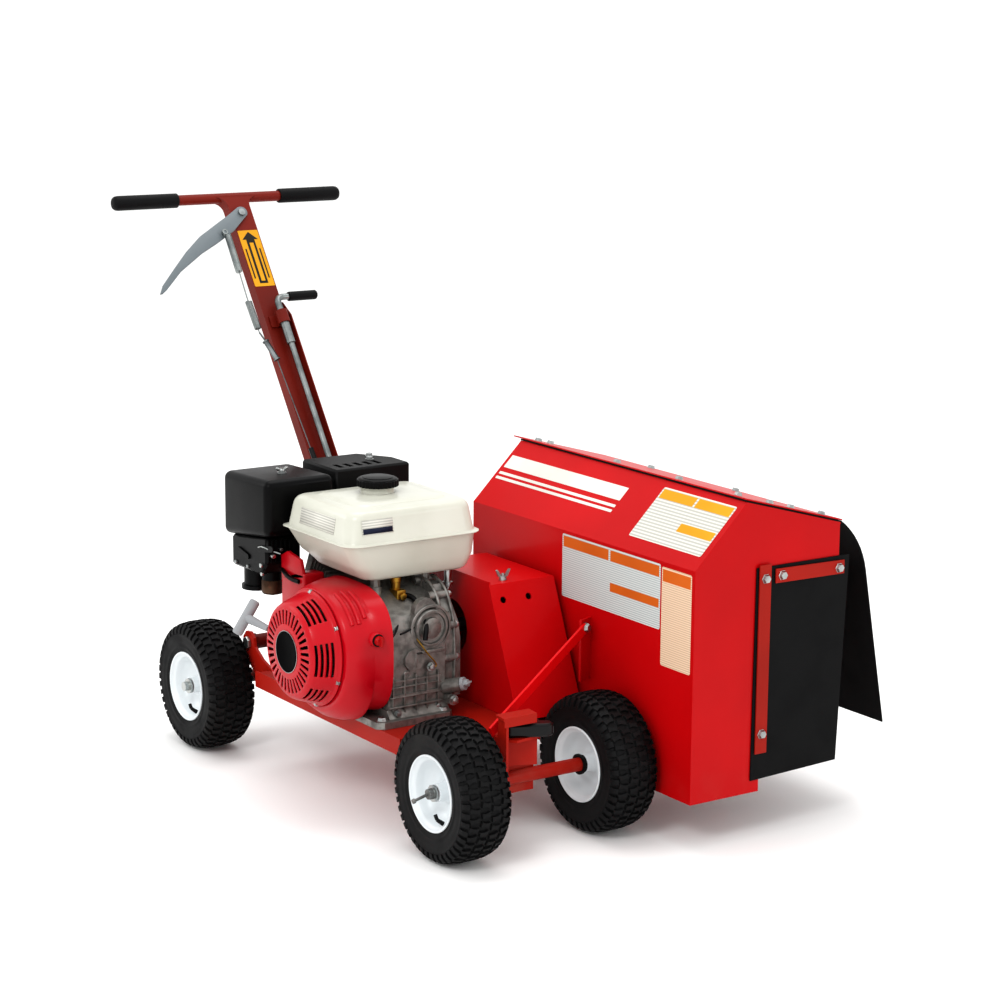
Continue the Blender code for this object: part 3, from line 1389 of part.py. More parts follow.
def makeRecoilCover():
    # drum-shaped recoil housing: a ring of radial slots in its face, three groups of
    # curved slots in its flank, and a rolled edge where it meets the shroud
    profile = [
        (0.0008, coverFace), (0.048, coverFace), (0.080, coverFace + 0.003),
        (0.0875, -0.130), (0.0925, -0.118), (0.0975, -0.102), (0.1010, -0.0905),
        (0.1035, -0.0870), (recoilRadius, -0.0860), (recoilRadius, coverJoint - gap),
        (0.1000, coverJoint - gap), (0.0974, -0.0915), (0.0940, -0.1020), (0.0890, -0.1165),
        (0.0842, -0.1270), (0.0780, -0.1312), (0.048, coverFace + 0.0035),
        (0.0008, coverFace + 0.0035),
    ]
    form = bmesh.new()
    addTurned(form, profile, 26)
    carrier = pivot("recoil_axis", (0, crankY, crankZ))
    cover = place("recoil_cover", form, (coverRed, 0.35, 0.0), parent=carrier, smooth=30)
    slots = bmesh.new()
    for i in range(slotCount):
        slot = [(0.0505, -0.0013), (0.0760, -0.0022), (0.0760, 0.0022), (0.0505, 0.0013)]
        made = list(grow(addPrism(slots, "x", slot, coverFace - 0.01, coverFace + 0.010)))
        turn = Matrix.Rotation(2 * math.pi * i / slotCount, 4, "X")
        bmesh.ops.transform(slots, matrix=turn, verts=made)
    for middle, span in slotGroups:
        for depth in flankSlots:
            outer = arc((0, 0), 0.112, middle - span / 2, middle + span / 2, 2)
            inner = arc((0, 0), 0.078, middle + span / 2, middle - span / 2, 2)
            addPrism(slots, "x", outer + inner, depth - 0.0019, depth + 0.0019)
    cut(cover, slots)
    return cover


def makeStarter():
    # rope reel behind the slots, pull grip and the short stretch of rope between
    carrier = pivot("reel_axis", (0, crankY, crankZ))
    profile = [(0.006, coverFace + 0.010), (0.066, coverFace + 0.011),
               (0.066, coverFace + 0.014), (0.050, coverFace + 0.015),
               (0.050, coverFace + 0.022), (0.066, coverFace + 0.023),
               (0.066, coverFace + 0.026), (0.006, coverFace + 0.026)]
    reel = bmesh.new()
    addTurned(reel, profile, 14)
    place("starter_reel", reel, (black, 0.5, 0.0), parent=carrier)
    exit = Vector(ropeExit)
    grip = pivot("recoil_grip_slide", exit)
    middle = Vector((-0.0165, 0.0610, 0.0122))
    along = middle.normalized()
    form = bmesh.new()
    addRound(form, along, along * 0.0040, middle.length - 0.005, 0.0050, 10, 0.0072)
    pull = place("recoil_grip", form, (leverGrey, 0.5, 0.0), parent=grip)
    bar = bmesh.new()
    tilt = Vector((0.57, 0, 0.82)).normalized()
    addRound(bar, tilt, middle - tilt * 0.036, 0.072, 0.0085, 10)
    weld(pull, bar)
    rope = [exit + along * 0.0003, exit + along * 0.0037]
    makeTube("recoil_rope", rope, 0.0018, (white, 0.8, 0.0))


def tankLoop(form, z, inset, corner=0.034, cutLeft=0.0, cutBack=0.0):
    # rounded rectangle at one height; the corners next to the air cleaner are tight
    left = tankLeft + inset + cutLeft
    right = tankRight - inset
    front = tankFront + inset
    back = tankBack - inset - cutBack
    tight = min(corner, 0.020)
    points = []
    for x, y, start, radius in ((right, back, 0, tight), (left, back, 90, tight),
                                (left, front, 180, corner), (right, front, 270, corner)):
        inX = x - radius if x > 0.1 else x + radius
        inY = y - radius if y > 0.39 else y + radius
        points += arc((inX, inY), radius, start, start + 90, 3)
    return [form.verts.new((x, y, z)) for x, y in points]


def makeTank():
    # pressed halves with a seam flange, a crowned top and a filler neck; the lower half is
    # cut in at the left and the back, over the shroud
    form = bmesh.new()
    rows = [
        tankLoop(form, tankBottom, 0.028, 0.024, 0.030, 0.022),
        tankLoop(form, tankBottom + 0.006, 0.018, 0.028, 0.030, 0.022),
        tankLoop(form, tankBottom + 0.030, 0.010, 0.030, 0.016, 0.012),
        tankLoop(form, tankSeam - 0.004, 0.007, 0.032),
        tankLoop(form, tankSeam - 0.001, 0.0), tankLoop(form, tankSeam + 0.001, 0.0),
        tankLoop(form, tankSeam + 0.004, 0.008, 0.032), tankLoop(form, tankTop - 0.016, 0.015),
        tankLoop(form, tankTop - 0.005, 0.020), tankLoop(form, tankTop, 0.032, 0.030),
        tankLoop(form, tankTop + 0.004, 0.078, 0.028),
    ]
    joinRows(form, rows)
    tank = place("fuel_tank", form, (cream, 0.35, 0.0), smooth=45)
    rest = bmesh.new()
    addRound(rest, "z", (*capPlace, tankTop), 0.0150, 0.031, 20, 0.028)
    addRound(rest, "z", (0.058, 0.304, tankBottom - 0.018), 0.024, 0.0085, 10)
    weld(tank, rest)
    return tank


def makeFuelCap():
    # ribbed cap with a flatter crown
    ribs = 14
    outline = []
    for i in range(ribs * 2):
        angle = math.pi * i / ribs
        radius = 0.0395 if i % 2 else 0.0365
        outline.append((radius * math.cos(angle), radius * math.sin(angle)))
    form = bmesh.new()
    addPrism(form, "z", outline, 0.0, 0.013)
    cap = place("fuel_cap", form, (black, 0.5, 0.0), at=(*capPlace, tankTop + 0.0153))
    rest = bmesh.new()
    addRound(rest, "z", (0, 0, 0.012), 0.0045, 0.033, 24, 0.027)
    weld(cap, rest)
    return cap


def makeAirCleaner():
    # tall rounded cover with its wing nut, over the carburettor, its elbow and its bowl
    form = bmesh.new()
    side = [(0.516, 0.484), (0.690, 0.462), (0.690, 0.585), (0.516, 0.591)]
    addPrism(form, "x", side, -0.078, 0.069)
    cover = place("air_cleaner", form, (black, 0.45, 0.0))
    roundEdges(cover, 0.014, 2)
    rest = bmesh.new()
    addRound(rest, "z", (-0.003, 0.592, 0.583), 0.013, 0.009, 12)
    addBox(rest, (-0.018, 0.5895, 0.594), (0.012, 0.5945, 0.603))
    weld(cover, rest)
    base = bmesh.new()
    body = [(0.5355, 0.430), (0.560, 0.404), (0.672, 0.404), (0.672, 0.4639), (0.5355, 0.4811)]
    addPrism(base, "x", body, -0.069, 0.006)
    body = place("carburettor", base, (black, 0.5, 0.0))
    roundEdges(body, 0.005, 1)
    rest = bmesh.new()
    addRound(rest, "z", (-0.032, 0.640, 0.364), 0.044, 0.025, 16)
    addRound(rest, "z", (-0.032, 0.640, 0.360), 0.008, 0.030, 16)
    addRound(rest, "z", (-0.029, 0.5855, 0.362), 0.046, 0.020, 16)
    weld(body, rest)


def makeMuffler():
    # round-edged silencer inside a slotted guard
    form = bmesh.new()
    addBox(form, (0.093, 0.546, 0.479), (0.213, 0.658, 0.579))
    body = place("muffler", form, (steel, 0.6, 0.8))
    roundEdges(body, 0.016, 2)
    rest = bmesh.new()
    addRound(rest, "x", (0.207, 0.626, 0.530), 0.024, 0.012, 14)
    weld(body, rest)
    shell = bmesh.new()
    outline = [(0.083, 0.536), (0.247, 0.536), (0.247, 0.600), (0.205, 0.668), (0.083, 0.668)]
    addPrism(shell, "z", outline, 0.513, 0.5935)
    guard = place("muffler_guard", shell, (black, 0.5, 0.2))
    roundEdges(guard, 0.004, 1)
    room = bmesh.new()
    inside = [(0.086, 0.539), (0.244, 0.539), (0.244, 0.599), (0.2035, 0.665), (0.086, 0.665)]
    addPrism(room, "z", inside, 0.493, 0.5905)
    addRound(room, "x", (0.212, 0.626, 0.530), 0.030, 0.0145, 14)
    for i in range(5):
        addBox(room, (0.103 + i * 0.021, 0.556, 0.580), (0.113 + i * 0.021, 0.586, 0.610))
    cut(guard, room)


def makeSmallControls():
    # dipstick, stop switch, throttle and choke levers
    neck = Vector((0.55, -0.80, 0.25)).normalized()
    at = Vector((0.126, 0.234, 0.236)) + neck * 0.0423
    form = bmesh.new()
    addRound(form, "z", (0, 0, 0), 0.007, 0.0125, 14)
    stick = place("dipstick", form, (leverGrey, 0.5, 0.0), at=at, matrix=axisMatrix(neck))
    rest = bmesh.new()
    addRound(rest, "z", (0, 0, 0.006), 0.008, 0.007, 12)
    addBox(rest, (-0.010, -0.0016, 0.007), (0.010, 0.0016, 0.017))
    weld(stick, rest)
    form = bmesh.new()
    addRound(form, Vector((0, -1, 0)), (0, 0, 0), 0.010, 0.0095, 14, 0.0080)
    knob = place("stop_switch", form, (red, 0.4, 0.0),
                 at=(switchPlace[0], 0.2040 - gap, switchPlace[1]))
    rest = bmesh.new()
    addBox(rest, (-0.0025, -0.0150, -0.009), (0.0025, -0.008, 0.009))
    weld(knob, rest)
    form = bmesh.new()
    addBar(form, (0, 0), (-0.050, 0.008), 0.006, 0.0, 0.003)
    place("throttle_lever", form, (leverGrey, 0.5, 0.3), at=(-0.0723, 0.560, 0.456))
    form = bmesh.new()
    addBar(form, (0, 0), (-0.036, -0.008), 0.005, 0.0, 0.003)
    place("choke_lever", form, (black, 0.5, 0.0), at=(-0.0723, 0.640, 0.440))


def makeLockLever():
    # black dipped lever that turns on an upright bolt above the bracket's shelf
    form = bmesh.new()
    turned = math.degrees(lockAngle)
    outline = []
    for reach, start in ((-0.0150, 90), (0.0450, -90)):
        centre = (reach * math.cos(lockAngle), reach * math.sin(lockAngle))
        outline += arc(centre, 0.0150, start + turned, start + turned + 180, 6)
    addPrism(form, "z", outline, 0.0, 0.024)
    lever = place("lock_lever", form, (rubberBlack, 0.6, 0.0), at=(*lockBolt, 0.2145))
    roundEdges(lever, 0.004, 1)
    hole = bmesh.new()
    addRound(hole, "z", (0, 0, -0.01), 0.05, 0.0058, 12)
    cut(lever, hole)
    return lever


def makeLeverBolt():
    # bolt of the clutch lever, with the washer under the lever
    form = bmesh.new()
    lever = columnPoint(leverPivot[0], leverPivot[1], columnDepth / 2 + gap)
    addTurned(form, [(0.0001, 0.0), (0.0075, 0.0), (0.0075, 0.0012), (0.0042, 0.0012),
                     (0.0042, 0.0081), (0.0078, 0.0081), (0.0078, 0.0130),
                     (0.0001, 0.0136)], 8, frontDirection, at=lever)
    place("lever_bolt", form, (zinc, 0.3, 0.9))


clearScene()
root = makeRoot()
armPivot = pivot("rear_arm_pivot", (0, armPivotY, armPivotZ))
makeFrame()
makeFrontAxle()
makeBrace()
makeHandle()
makeGrip("grip_left", barLeft + gripLength)
makeGrip("grip_right", barRight - gripLength)
leverCarrier = makeClutchLever()
makeClutchLink(leverCarrier)
makeClutchCable()
makeDepthScrew()
makeScrewSleeve()
makeDepthNut()
makeRearAxle()
makeArmPin()
makeWheels()
makeHood()
makeRoofPlate()
makeSideFlap()
makeEndFlap()
makeGuard()
makeWingNut()
makeDrive()
makeBearings()
makeCrankcase()
makeCylinderHead()
makeFanCover()
makeRecoilCover()
makeStarter()
makeTank()
makeFuelCap()
makeAirCleaner()
makeMuffler()
makeSmallControls()
makeLockLever()
makeLeverBolt()
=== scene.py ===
import json
import math

import bmesh
import bpy
from mathutils import Matrix, Vector

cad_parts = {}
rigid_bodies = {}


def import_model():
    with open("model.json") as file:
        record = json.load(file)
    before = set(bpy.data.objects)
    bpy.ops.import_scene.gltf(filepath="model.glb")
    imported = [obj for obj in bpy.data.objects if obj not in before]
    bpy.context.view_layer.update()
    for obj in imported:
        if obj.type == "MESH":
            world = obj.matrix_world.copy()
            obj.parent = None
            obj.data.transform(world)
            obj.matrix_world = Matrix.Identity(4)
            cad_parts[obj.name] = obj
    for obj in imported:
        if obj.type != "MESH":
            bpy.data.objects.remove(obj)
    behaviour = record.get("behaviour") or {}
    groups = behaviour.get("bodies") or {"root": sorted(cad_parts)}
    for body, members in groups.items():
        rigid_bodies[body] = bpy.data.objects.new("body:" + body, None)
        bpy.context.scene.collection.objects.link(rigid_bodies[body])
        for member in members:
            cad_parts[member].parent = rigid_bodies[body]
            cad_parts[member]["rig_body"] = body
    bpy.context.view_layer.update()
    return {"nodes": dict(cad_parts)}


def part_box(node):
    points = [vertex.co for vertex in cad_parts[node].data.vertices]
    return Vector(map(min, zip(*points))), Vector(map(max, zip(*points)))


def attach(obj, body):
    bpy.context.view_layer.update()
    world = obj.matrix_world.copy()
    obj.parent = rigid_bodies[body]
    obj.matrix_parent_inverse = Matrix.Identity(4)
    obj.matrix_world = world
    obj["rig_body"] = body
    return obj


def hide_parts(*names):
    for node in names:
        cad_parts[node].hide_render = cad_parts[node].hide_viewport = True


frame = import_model()
nodes = frame["nodes"]
print("frame loaded:", len(nodes), "nodes")

# the machine's own origin is on the ground under the left front wheel
machineShift = Vector((-0.3284, -0.5189, 0.0))


def spot(x, y, z):
    return Vector((x, y, z)) + machineShift


def rgb(code):
    # a hex colour as linear red, green, blue, alpha
    parts = [int(code[i:i + 2], 16) / 255 for i in (0, 2, 4)]
    linear = [c / 12.92 if c <= 0.04045 else ((c + 0.055) / 1.055) ** 2.4 for c in parts]
    return (*linear, 1.0)


# camera and studio
cameraSettings = {
    "place": (-2.63544, -4.09105, 1.52612),
    "heading": 0.59209,
    "tilt": 0.20518,
    "roll": 0.00819,
    "lens": 92.209,
}
studio = {
    "sky": 0.96,
    "floor": "fafaf9",
    "lights": [
        # place, aimed at, size, power
        ((-3.2, -2.4, 3.4), (0.0, 0.0, 0.4), 1.3, 46),
        ((2.6, -3.8, 2.0), (0.1, -0.2, 0.4), 1.3, 16),
        ((0.5, 0.4, 4.2), (0.0, 0.0, 0.3), 3.2, 55),
        ((-3.0, 2.8, 2.2), (0.0, 0.2, 0.5), 2.0, 20),
    ],
}


def makeCamera():
    s = cameraSettings
    heading, tilt = s["heading"], s["tilt"]
    ahead = Vector((math.sin(heading) * math.cos(tilt), math.cos(heading) * math.cos(tilt),
                    -math.sin(tilt)))
    across = Vector((math.cos(heading), -math.sin(heading), 0))
    above = across.cross(ahead)
    side = across * math.cos(s["roll"]) + above * math.sin(s["roll"])
    up = above * math.cos(s["roll"]) - across * math.sin(s["roll"])
    camera = bpy.data.objects.new("camera", bpy.data.cameras.new("camera"))
    bpy.context.scene.collection.objects.link(camera)
    turn = Matrix((side, up, -ahead)).transposed().to_4x4()
    camera.matrix_world = Matrix.Translation(s["place"]) @ turn
    camera.data.lens = s["lens"]
    camera.data.sensor_width = 36
    camera.data.clip_start = 0.1
    camera.data.clip_end = 60
    bpy.context.scene.camera = camera


def makeLights():
    for index, (place, aim, size, power) in enumerate(studio["lights"]):
        data = bpy.data.lights.new("softbox%d" % index, "AREA")
        data.shape = "DISK"
        data.size = size
        data.energy = power
        light = bpy.data.objects.new(data.name, data)
        bpy.context.scene.collection.objects.link(light)
        light.location = place
        away = Vector(place) - Vector(aim)
        light.rotation_euler = away.to_track_quat("Z", "Y").to_euler()
    world = bpy.data.worlds.new("studio")
    bpy.context.scene.world = world
    world.use_nodes = True
    sky = world.node_tree.nodes["Background"]
    sky.inputs["Color"].default_value = (1, 1, 1, 1)
    sky.inputs["Strength"].default_value = studio["sky"]
    view = bpy.context.scene.view_settings
    view.view_transform = "Standard"
    view.look = "Medium High Contrast"


class Value:
    # a node's output, so that shader maths reads as plain arithmetic
    def __init__(self, finish, socket):
        self.finish = finish
        self.socket = socket

    def maths(self, operation, *terms):
        return self.finish.add("Math", {"operation": operation}, dict(enumerate(terms)))

    def __add__(self, other):
        return self.maths("ADD", self, other)

    def __radd__(self, other):
        return self.maths("ADD", other, self)

    def __sub__(self, other):
        return self.maths("SUBTRACT", self, other)

    def __rsub__(self, other):
        return self.maths("SUBTRACT", other, self)

    def __mul__(self, other):
        return self.maths("MULTIPLY", self, other)

    def __rmul__(self, other):
        return self.maths("MULTIPLY", other, self)

    def rise(self, low, high):
        # 0 below low, 1 above high, smooth between them
        return self.finish.add("MapRange", {"interpolation_type": "SMOOTHSTEP"},
                               {"Value": self, "From Min": low, "From Max": high})


class Finish:
    # one procedural material
    def __init__(self, name, fixed):
        self.material = bpy.data.materials.new(name)
        self.material.use_nodes = True
        self.tree = self.material.node_tree
        self.surface = self.tree.nodes["Principled BSDF"]
        self.place = self.add("TexCoord", output="Object")
        for key, value in fixed.items():
            self.set(key, value)

    def add(self, kind, settings=None, values=None, output=0):
        node = self.tree.nodes.new("ShaderNode" + kind)
        for key, value in (settings or {}).items():
            setattr(node, key, value)
        for key, value in (values or {}).items():
            self.feed(node.inputs[key], value)
        return Value(self, node.outputs[output])

    def feed(self, socket, value):
        if isinstance(value, Value):
            self.tree.links.new(value.socket, socket)
        else:
            socket.default_value = value

    def set(self, name, value):
        self.feed(self.surface.inputs[name], value)

    def noise(self, scale, detail):
        return self.add("TexNoise", None,
                        {"Vector": self.place, "Scale": scale, "Detail": detail}, "Fac")

    def height(self):
        return self.add("SeparateXYZ", None, {"Vector": self.place}, "Z")

    def mix(self, factor, first, second):
        return self.add("Mix", {"data_type": "RGBA"}, {"Factor": factor, 6: first, 7: second},
                        2)

    def bump(self, height, strength, distance):
        self.set("Normal", self.add("Bump", None, {"Height": height, "Strength": strength,
                                                   "Distance": distance}))


# finishes
paints = {
    # base, darker patch, roughness, coat, peel bump, dust near the ground, gloss
    "hoodRed": ("bb050c", "a00308", 0.32, 0.08, 0.08, 0.05, 0.11),
    "frameOrange": ("a01c0e", "7c1409", 0.42, 0.04, 0.2, 0.25, 0.14),
    # a darker copy of frameOrange: painted shade for the rear axle and arms, which sit in
    # shadow
    "frameDark": ("5c0f08", "3d0a06", 0.45, 0.04, 0.2, 0.25, 0.16),
    "columnBrown": ("701a0d", "4d1009", 0.42, 0.04, 0.22, 0.0, 0.16),
    "leverGrey": ("6c7478", "535b5e", 0.38, 0.1, 0.55, 0.0, 0.3),
    "rimWhite": ("dfe4e6", "c6ccd0", 0.28, 0.25, 0.08, 0.04, 0.4),
    "braceRed": ("d0080f", "b8060b", 0.34, 0.06, 0.08, 0.04, 0.1),
    "gloss": ("0a0a0b", "060607", 0.28, 0.1, 0.1, 0.05, 0.22),
    "satinBlack": ("0c0c0d", "080808", 0.46, 0.02, 0.25, 0.06, 0.15),
}
rubbers = {
    # base, pale, roughness, grain
    "gripRubber": ("070708", "0e0e10", 0.5, 700),
    "flapRubber": ("060607", "0c0c0d", 0.62, 500),
    "beltRubber": ("151515", "202020", 0.75, 400),
    "cableBlack": ("0e0e0f", "18181a", 0.4, 600),
    "rope": ("b9b8b0", "8f8e86", 0.85, 300),
}
metals = {
    # base, dark, roughness, grain, rust
    "zinc": ("b4b7b5", "868b8c", 0.28, 300, 0.15),
    "zincDull": ("8b908f", "5d6364", 0.34, 300, 0.1),
    "zincDark": ("6d7172", "3f4344", 0.34, 300, 0.1),
    "wornSteel": ("8f8f8c", "60605f", 0.35, 260, 0.45),
    "rustySteel": ("5b4638", "35261d", 0.55, 260, 0.9),
    "brass": ("b08a3c", "7c5d25", 0.3, 300, 0.1),
    "mufflerSteel": ("4a443e", "2c2825", 0.55, 260, 0.6),
    "rotorIron": ("7a3a22", "4a2416", 0.6, 220, 0.8),
}
plastics = {
    # base, pale, roughness, coat, peel bump, gloss
    "coverCrimson": ("b60218", "9c0113", 0.3, 0.12, 0.06, 0.22),
    "tankCream": ("c9c9bd", "bdbdb0", 0.26, 0.25, 0.05, 0.35),
    "engineBlack": ("040405", "080809", 0.34, 0.05, 0.25, 0.1),
    "badgeBlack": ("060607", "0b0b0c", 0.6, 0.0, 0.05, 0.03),
    "stripeWhite": ("d9d7d0", "cbc9c1", 0.45, 0.02, 0.03, 0.18),
    "panelOrange": ("c8631d", "bd5a18", 0.45, 0.02, 0.03, 0.18),
    "panelYellow": ("d39b1c", "c98f14", 0.45, 0.02, 0.03, 0.18),
    "panelNavy": ("161b30", "20263f", 0.45, 0.02, 0.03, 0.18),
    "panelInk": ("17140f", "221c12", 0.4, 0.0, 0.03, 0.2),
    "gripGrey": ("9a9c9e", "85878a", 0.48, 0.0, 0.4, 0.25),
    "knobRed": ("a80208", "8c0206", 0.32, 0.1, 0.05, 0.2),
}
panels = {
    # base, ruled line, distance between the lines
    "panelWhite": ("d6d4cb", "a3a29b", 0.0046),
    "panelGrey": ("ccd0cd", "98a0a2", 0.004),
    "panelCream": ("e3c8ad", "b89a80", 0.004),
}
castings = {"castAluminium": ("8c8a86", "5f5d5a")}   # base, dark
treads = {"tyreRubber": ("0d0d0e", "19191a")}        # base, worn
stains = {"dust": "8d7f6d", "mud": "2a2520", "rust": "6b3a20", "grime": "2b2723"}
dustTop = 0.2
barPaint = {"colour": "6f1a0d", "fade": (1.0, 1.04)}   # T-bar over the brown column


def makePaint(name, base, dark, roughness, coat, peel, dust, gloss):
    finish = Finish(name, {"Coat Roughness": 0.12, "Metallic": 0.0,
                           "Specular IOR Level": gloss})
    cloud = finish.noise(3.2, 4.0).rise(0.35, 0.75)
    colour = finish.mix(cloud * 0.55, rgb(base), rgb(dark))
    height = finish.height()
    ground = (dustTop - height).rise(0.0, dustTop) * finish.noise(22, 5.0).rise(0.42, 0.68)
    colour = finish.mix(ground * dust, colour, rgb(stains["dust"]))
    if name == "columnBrown":
        colour = finish.mix(height.rise(*barPaint["fade"]), colour, rgb(barPaint["colour"]))
    speck = finish.noise(260, 2.0).rise(0.7, 0.78)
    finish.set("Base Color", finish.mix(speck * 0.35, colour, rgb(dark)))
    finish.set("Roughness", roughness + 0.14 * finish.noise(9, 4.0) + 0.3 * ground * dust)
    finish.set("Coat Weight", coat)
    finish.bump(finish.noise(420, 1.5) * 0.5 + finish.noise(60, 2.0) * 0.5, peel, 0.0006)
    return finish


def makeTread(name, base, worn):
    finish = Finish(name, {"Specular IOR Level": 0.18})
    wear = finish.noise(30, 5.0).rise(0.4, 0.75)
    colour = finish.mix(wear, rgb(base), rgb(worn))
    mud = finish.noise(7, 3.0).rise(0.55, 0.8)
    finish.set("Base Color", finish.mix(mud * 0.3, colour, rgb(stains["mud"])))
    finish.set("Roughness", 0.58 + 0.22 * wear)
    finish.bump(finish.noise(600, 2.0) + 0.6 * finish.noise(120, 3.0), 0.35, 0.0005)
    return finish


def makeRubber(name, base, pale, roughness, grain):
    finish = Finish(name, {"Specular IOR Level": 0.16})
    cloud = finish.noise(14, 5.0).rise(0.4, 0.75)
    finish.set("Base Color", finish.mix(cloud, rgb(base), rgb(pale)))
    finish.set("Roughness", roughness + 0.16 * cloud)
    finish.bump(finish.noise(grain, 2.0) + 0.4 * finish.noise(grain / 6, 2.0), 0.3, 0.0004)
    return finish


def makeMetal(name, base, dark, roughness, grain, rust):
    finish = Finish(name, {})
    cloud = finish.noise(24, 5.0).rise(0.35, 0.75)
    colour = finish.mix(cloud, rgb(base), rgb(dark))
    stain = finish.noise(55, 6.0).rise(0.56, 0.72)
    finish.set("Base Color", finish.mix(stain * rust, colour, rgb(stains["rust"])))
    finish.set("Metallic", 1.0 - 0.8 * rust * stain)
    finish.set("Roughness", roughness + 0.2 * cloud + 0.25 * stain * rust)
    finish.bump(finish.noise(grain, 2.0), 0.25, 0.0003)
    return finish


def makeCasting(name, base, dark):
    # bare cast metal with a sandy skin and patches of oily grime
    finish = Finish(name, {"Metallic": 0.85})
    cloud = finish.noise(60, 5.0).rise(0.38, 0.72)
    colour = finish.mix(cloud * 0.7, rgb(base), rgb(dark))
    grime = finish.noise(26, 6.0).rise(0.5, 0.74)
    finish.set("Base Color", finish.mix(grime * 0.3, colour, rgb(stains["grime"])))
    finish.set("Roughness", 0.46 + 0.18 * cloud + 0.12 * grime)
    finish.bump(finish.noise(380, 3.0) + 0.5 * finish.noise(90, 2.0), 0.5, 0.0005)
    return finish


def makePlastic(name, base, pale, roughness, coat, peel, gloss):
    finish = Finish(name, {"Coat Roughness": 0.15, "Specular IOR Level": gloss})
    cloud = finish.noise(6, 4.0).rise(0.35, 0.75)
    finish.set("Base Color", finish.mix(cloud, rgb(base), rgb(pale)))
    finish.set("Roughness", roughness + 0.12 * finish.noise(26, 4.0))
    finish.set("Coat Weight", coat)
    finish.bump(finish.noise(500, 1.5), peel, 0.0004)
    return finish


def makePanel(name, base, rule, pitch):
    # blank panel, ruled with plain level lines
    finish = Finish(name, {"Specular IOR Level": 0.18})
    wave = finish.add("Math", {"operation": "PINGPONG"}, {0: finish.height(), 1: pitch / 2})
    lines = wave.rise(pitch * 0.2, pitch * 0.3)
    finish.set("Base Color", finish.mix(lines * 0.75, rgb(base), rgb(rule)))
    finish.set("Roughness", 0.42 + 0.08 * finish.noise(30, 3.0))
    return finish


finishes = {}
for make, looks in ((makePaint, paints), (makeTread, treads), (makeRubber, rubbers),
                    (makeMetal, metals), (makeCasting, castings), (makePlastic, plastics),
                    (makePanel, panels)):
    for name, look in looks.items():
        finishes[name] = make(name, *look)
print("finishes made:", len(finishes))


def finishPiece(name, form, finish, node=None, angle=35, body="frame"):
    # a mesh object from a bmesh, shaded smooth below the angle; it replaces a node and
    # rides on that node's body, or is a piece more on the body named
    mesh = bpy.data.meshes.new(name)
    form.to_mesh(mesh)
    form.free()
    piece = bpy.data.objects.new(name, mesh)
    bpy.context.scene.collection.objects.link(piece)
    mesh.materials.append(finishes[finish].material)
    mesh.shade_smooth()
    mesh.set_sharp_from_angle(angle=math.radians(angle))
    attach(piece, nodes[node]["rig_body"] if node else body)
    if node:
        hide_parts(node)
    return piece


def machinePiece(name, form, finish, node=None, angle=35):
    # the same for a form that was built in the machine's own frame
    bmesh.ops.translate(form, vec=machineShift, verts=form.verts)
    return finishPiece(name, form, finish, node, angle)


def thicken(piece, thickness, offset=-1):
    wall = piece.modifiers.new("wall", "SOLIDIFY")
    wall.thickness = thickness
    wall.offset = offset


def sharpEdges(edges, angle):
    return [edge for edge in edges
            if len(edge.link_faces) == 2 and edge.calc_face_angle() > math.radians(angle)]


def easeEdges(form, edges, width, segments=2):
    bmesh.ops.bevel(form, geom=edges, offset=width, offset_type="OFFSET", segments=segments,
                    profile=0.5, affect="EDGES", material=-1, clamp_overlap=True)


def newVerts(form, old):
    return [vert for vert in form.verts if vert not in old]


def linked(verts, kind):
    # the edges or faces that touch the verts
    return list(dict.fromkeys(item for vert in verts for item in getattr(vert, kind)))


def addTurned(form, profile, steps, axis=(1, 0, 0), at=(0, 0, 0), closed=False):
    # a body of revolution from (reach along the axis, radius) points
    old = set(form.verts)
    verts = [form.verts.new((x, 0, r)) for x, r in profile]
    edges = [form.edges.new(pair) for pair in zip(verts, verts[1:])]
    if closed:
        edges.append(form.edges.new((verts[-1], verts[0])))
    bmesh.ops.spin(form, geom=verts + edges, cent=(0, 0, 0), axis=(1, 0, 0),
                   angle=2 * math.pi, steps=steps, use_merge=True)
    bmesh.ops.remove_doubles(form, verts=newVerts(form, old), dist=0.000005)
    made = newVerts(form, old)
    bmesh.ops.recalc_face_normals(form, faces=linked(made, "link_faces"))
    turn = Vector((1, 0, 0)).rotation_difference(Vector(axis)).to_matrix().to_4x4()
    bmesh.ops.transform(form, matrix=Matrix.Translation(at) @ turn, verts=made)


def addRod(form, start, end, radius, sides=20, taper=1.0, ease=0.0):
    # a closed round bar between two points
    run = Vector(end) - Vector(start)
    turn = run.to_track_quat("Z", "Y").to_matrix().to_4x4()
    middle = Matrix.Translation((Vector(start) + Vector(end)) / 2)
    made = bmesh.ops.create_cone(form, cap_ends=True, segments=sides, radius1=radius,
                                 radius2=radius * taper, depth=run.length,
                                 matrix=middle @ turn)["verts"]
    if ease:
        easeEdges(form, sharpEdges(linked(made, "link_edges"), 60), ease)
    return made


bolt = {"sunk": 0.001, "washer": 0.0012, "washerWide": 1.28, "taper": 0.985, "ease": 0.0005}


def addBolt(form, at, axis, across, high):
    # hex head with eased corners on its washer
    at, axis = Vector(at), Vector(axis).normalized()
    foot, seat = at - axis * bolt["sunk"], at + axis * bolt["washer"]
    corner = across / math.sqrt(3)
    addRod(form, foot, seat, corner * bolt["washerWide"], 24)
    made = addRod(form, foot, at + axis * (bolt["washer"] + high), corner, 6, bolt["taper"])
    easeEdges(form, linked(made, "link_edges"), bolt["ease"])


def addBlock(form, low, high, ease):
    low, high = Vector(low), Vector(high)
    shape = Matrix.Translation((low + high) / 2) @ Matrix.Diagonal((*(high - low), 1))
    made = bmesh.ops.create_cube(form, size=1, matrix=shape)["verts"]
    easeEdges(form, linked(made, "link_edges"), ease)


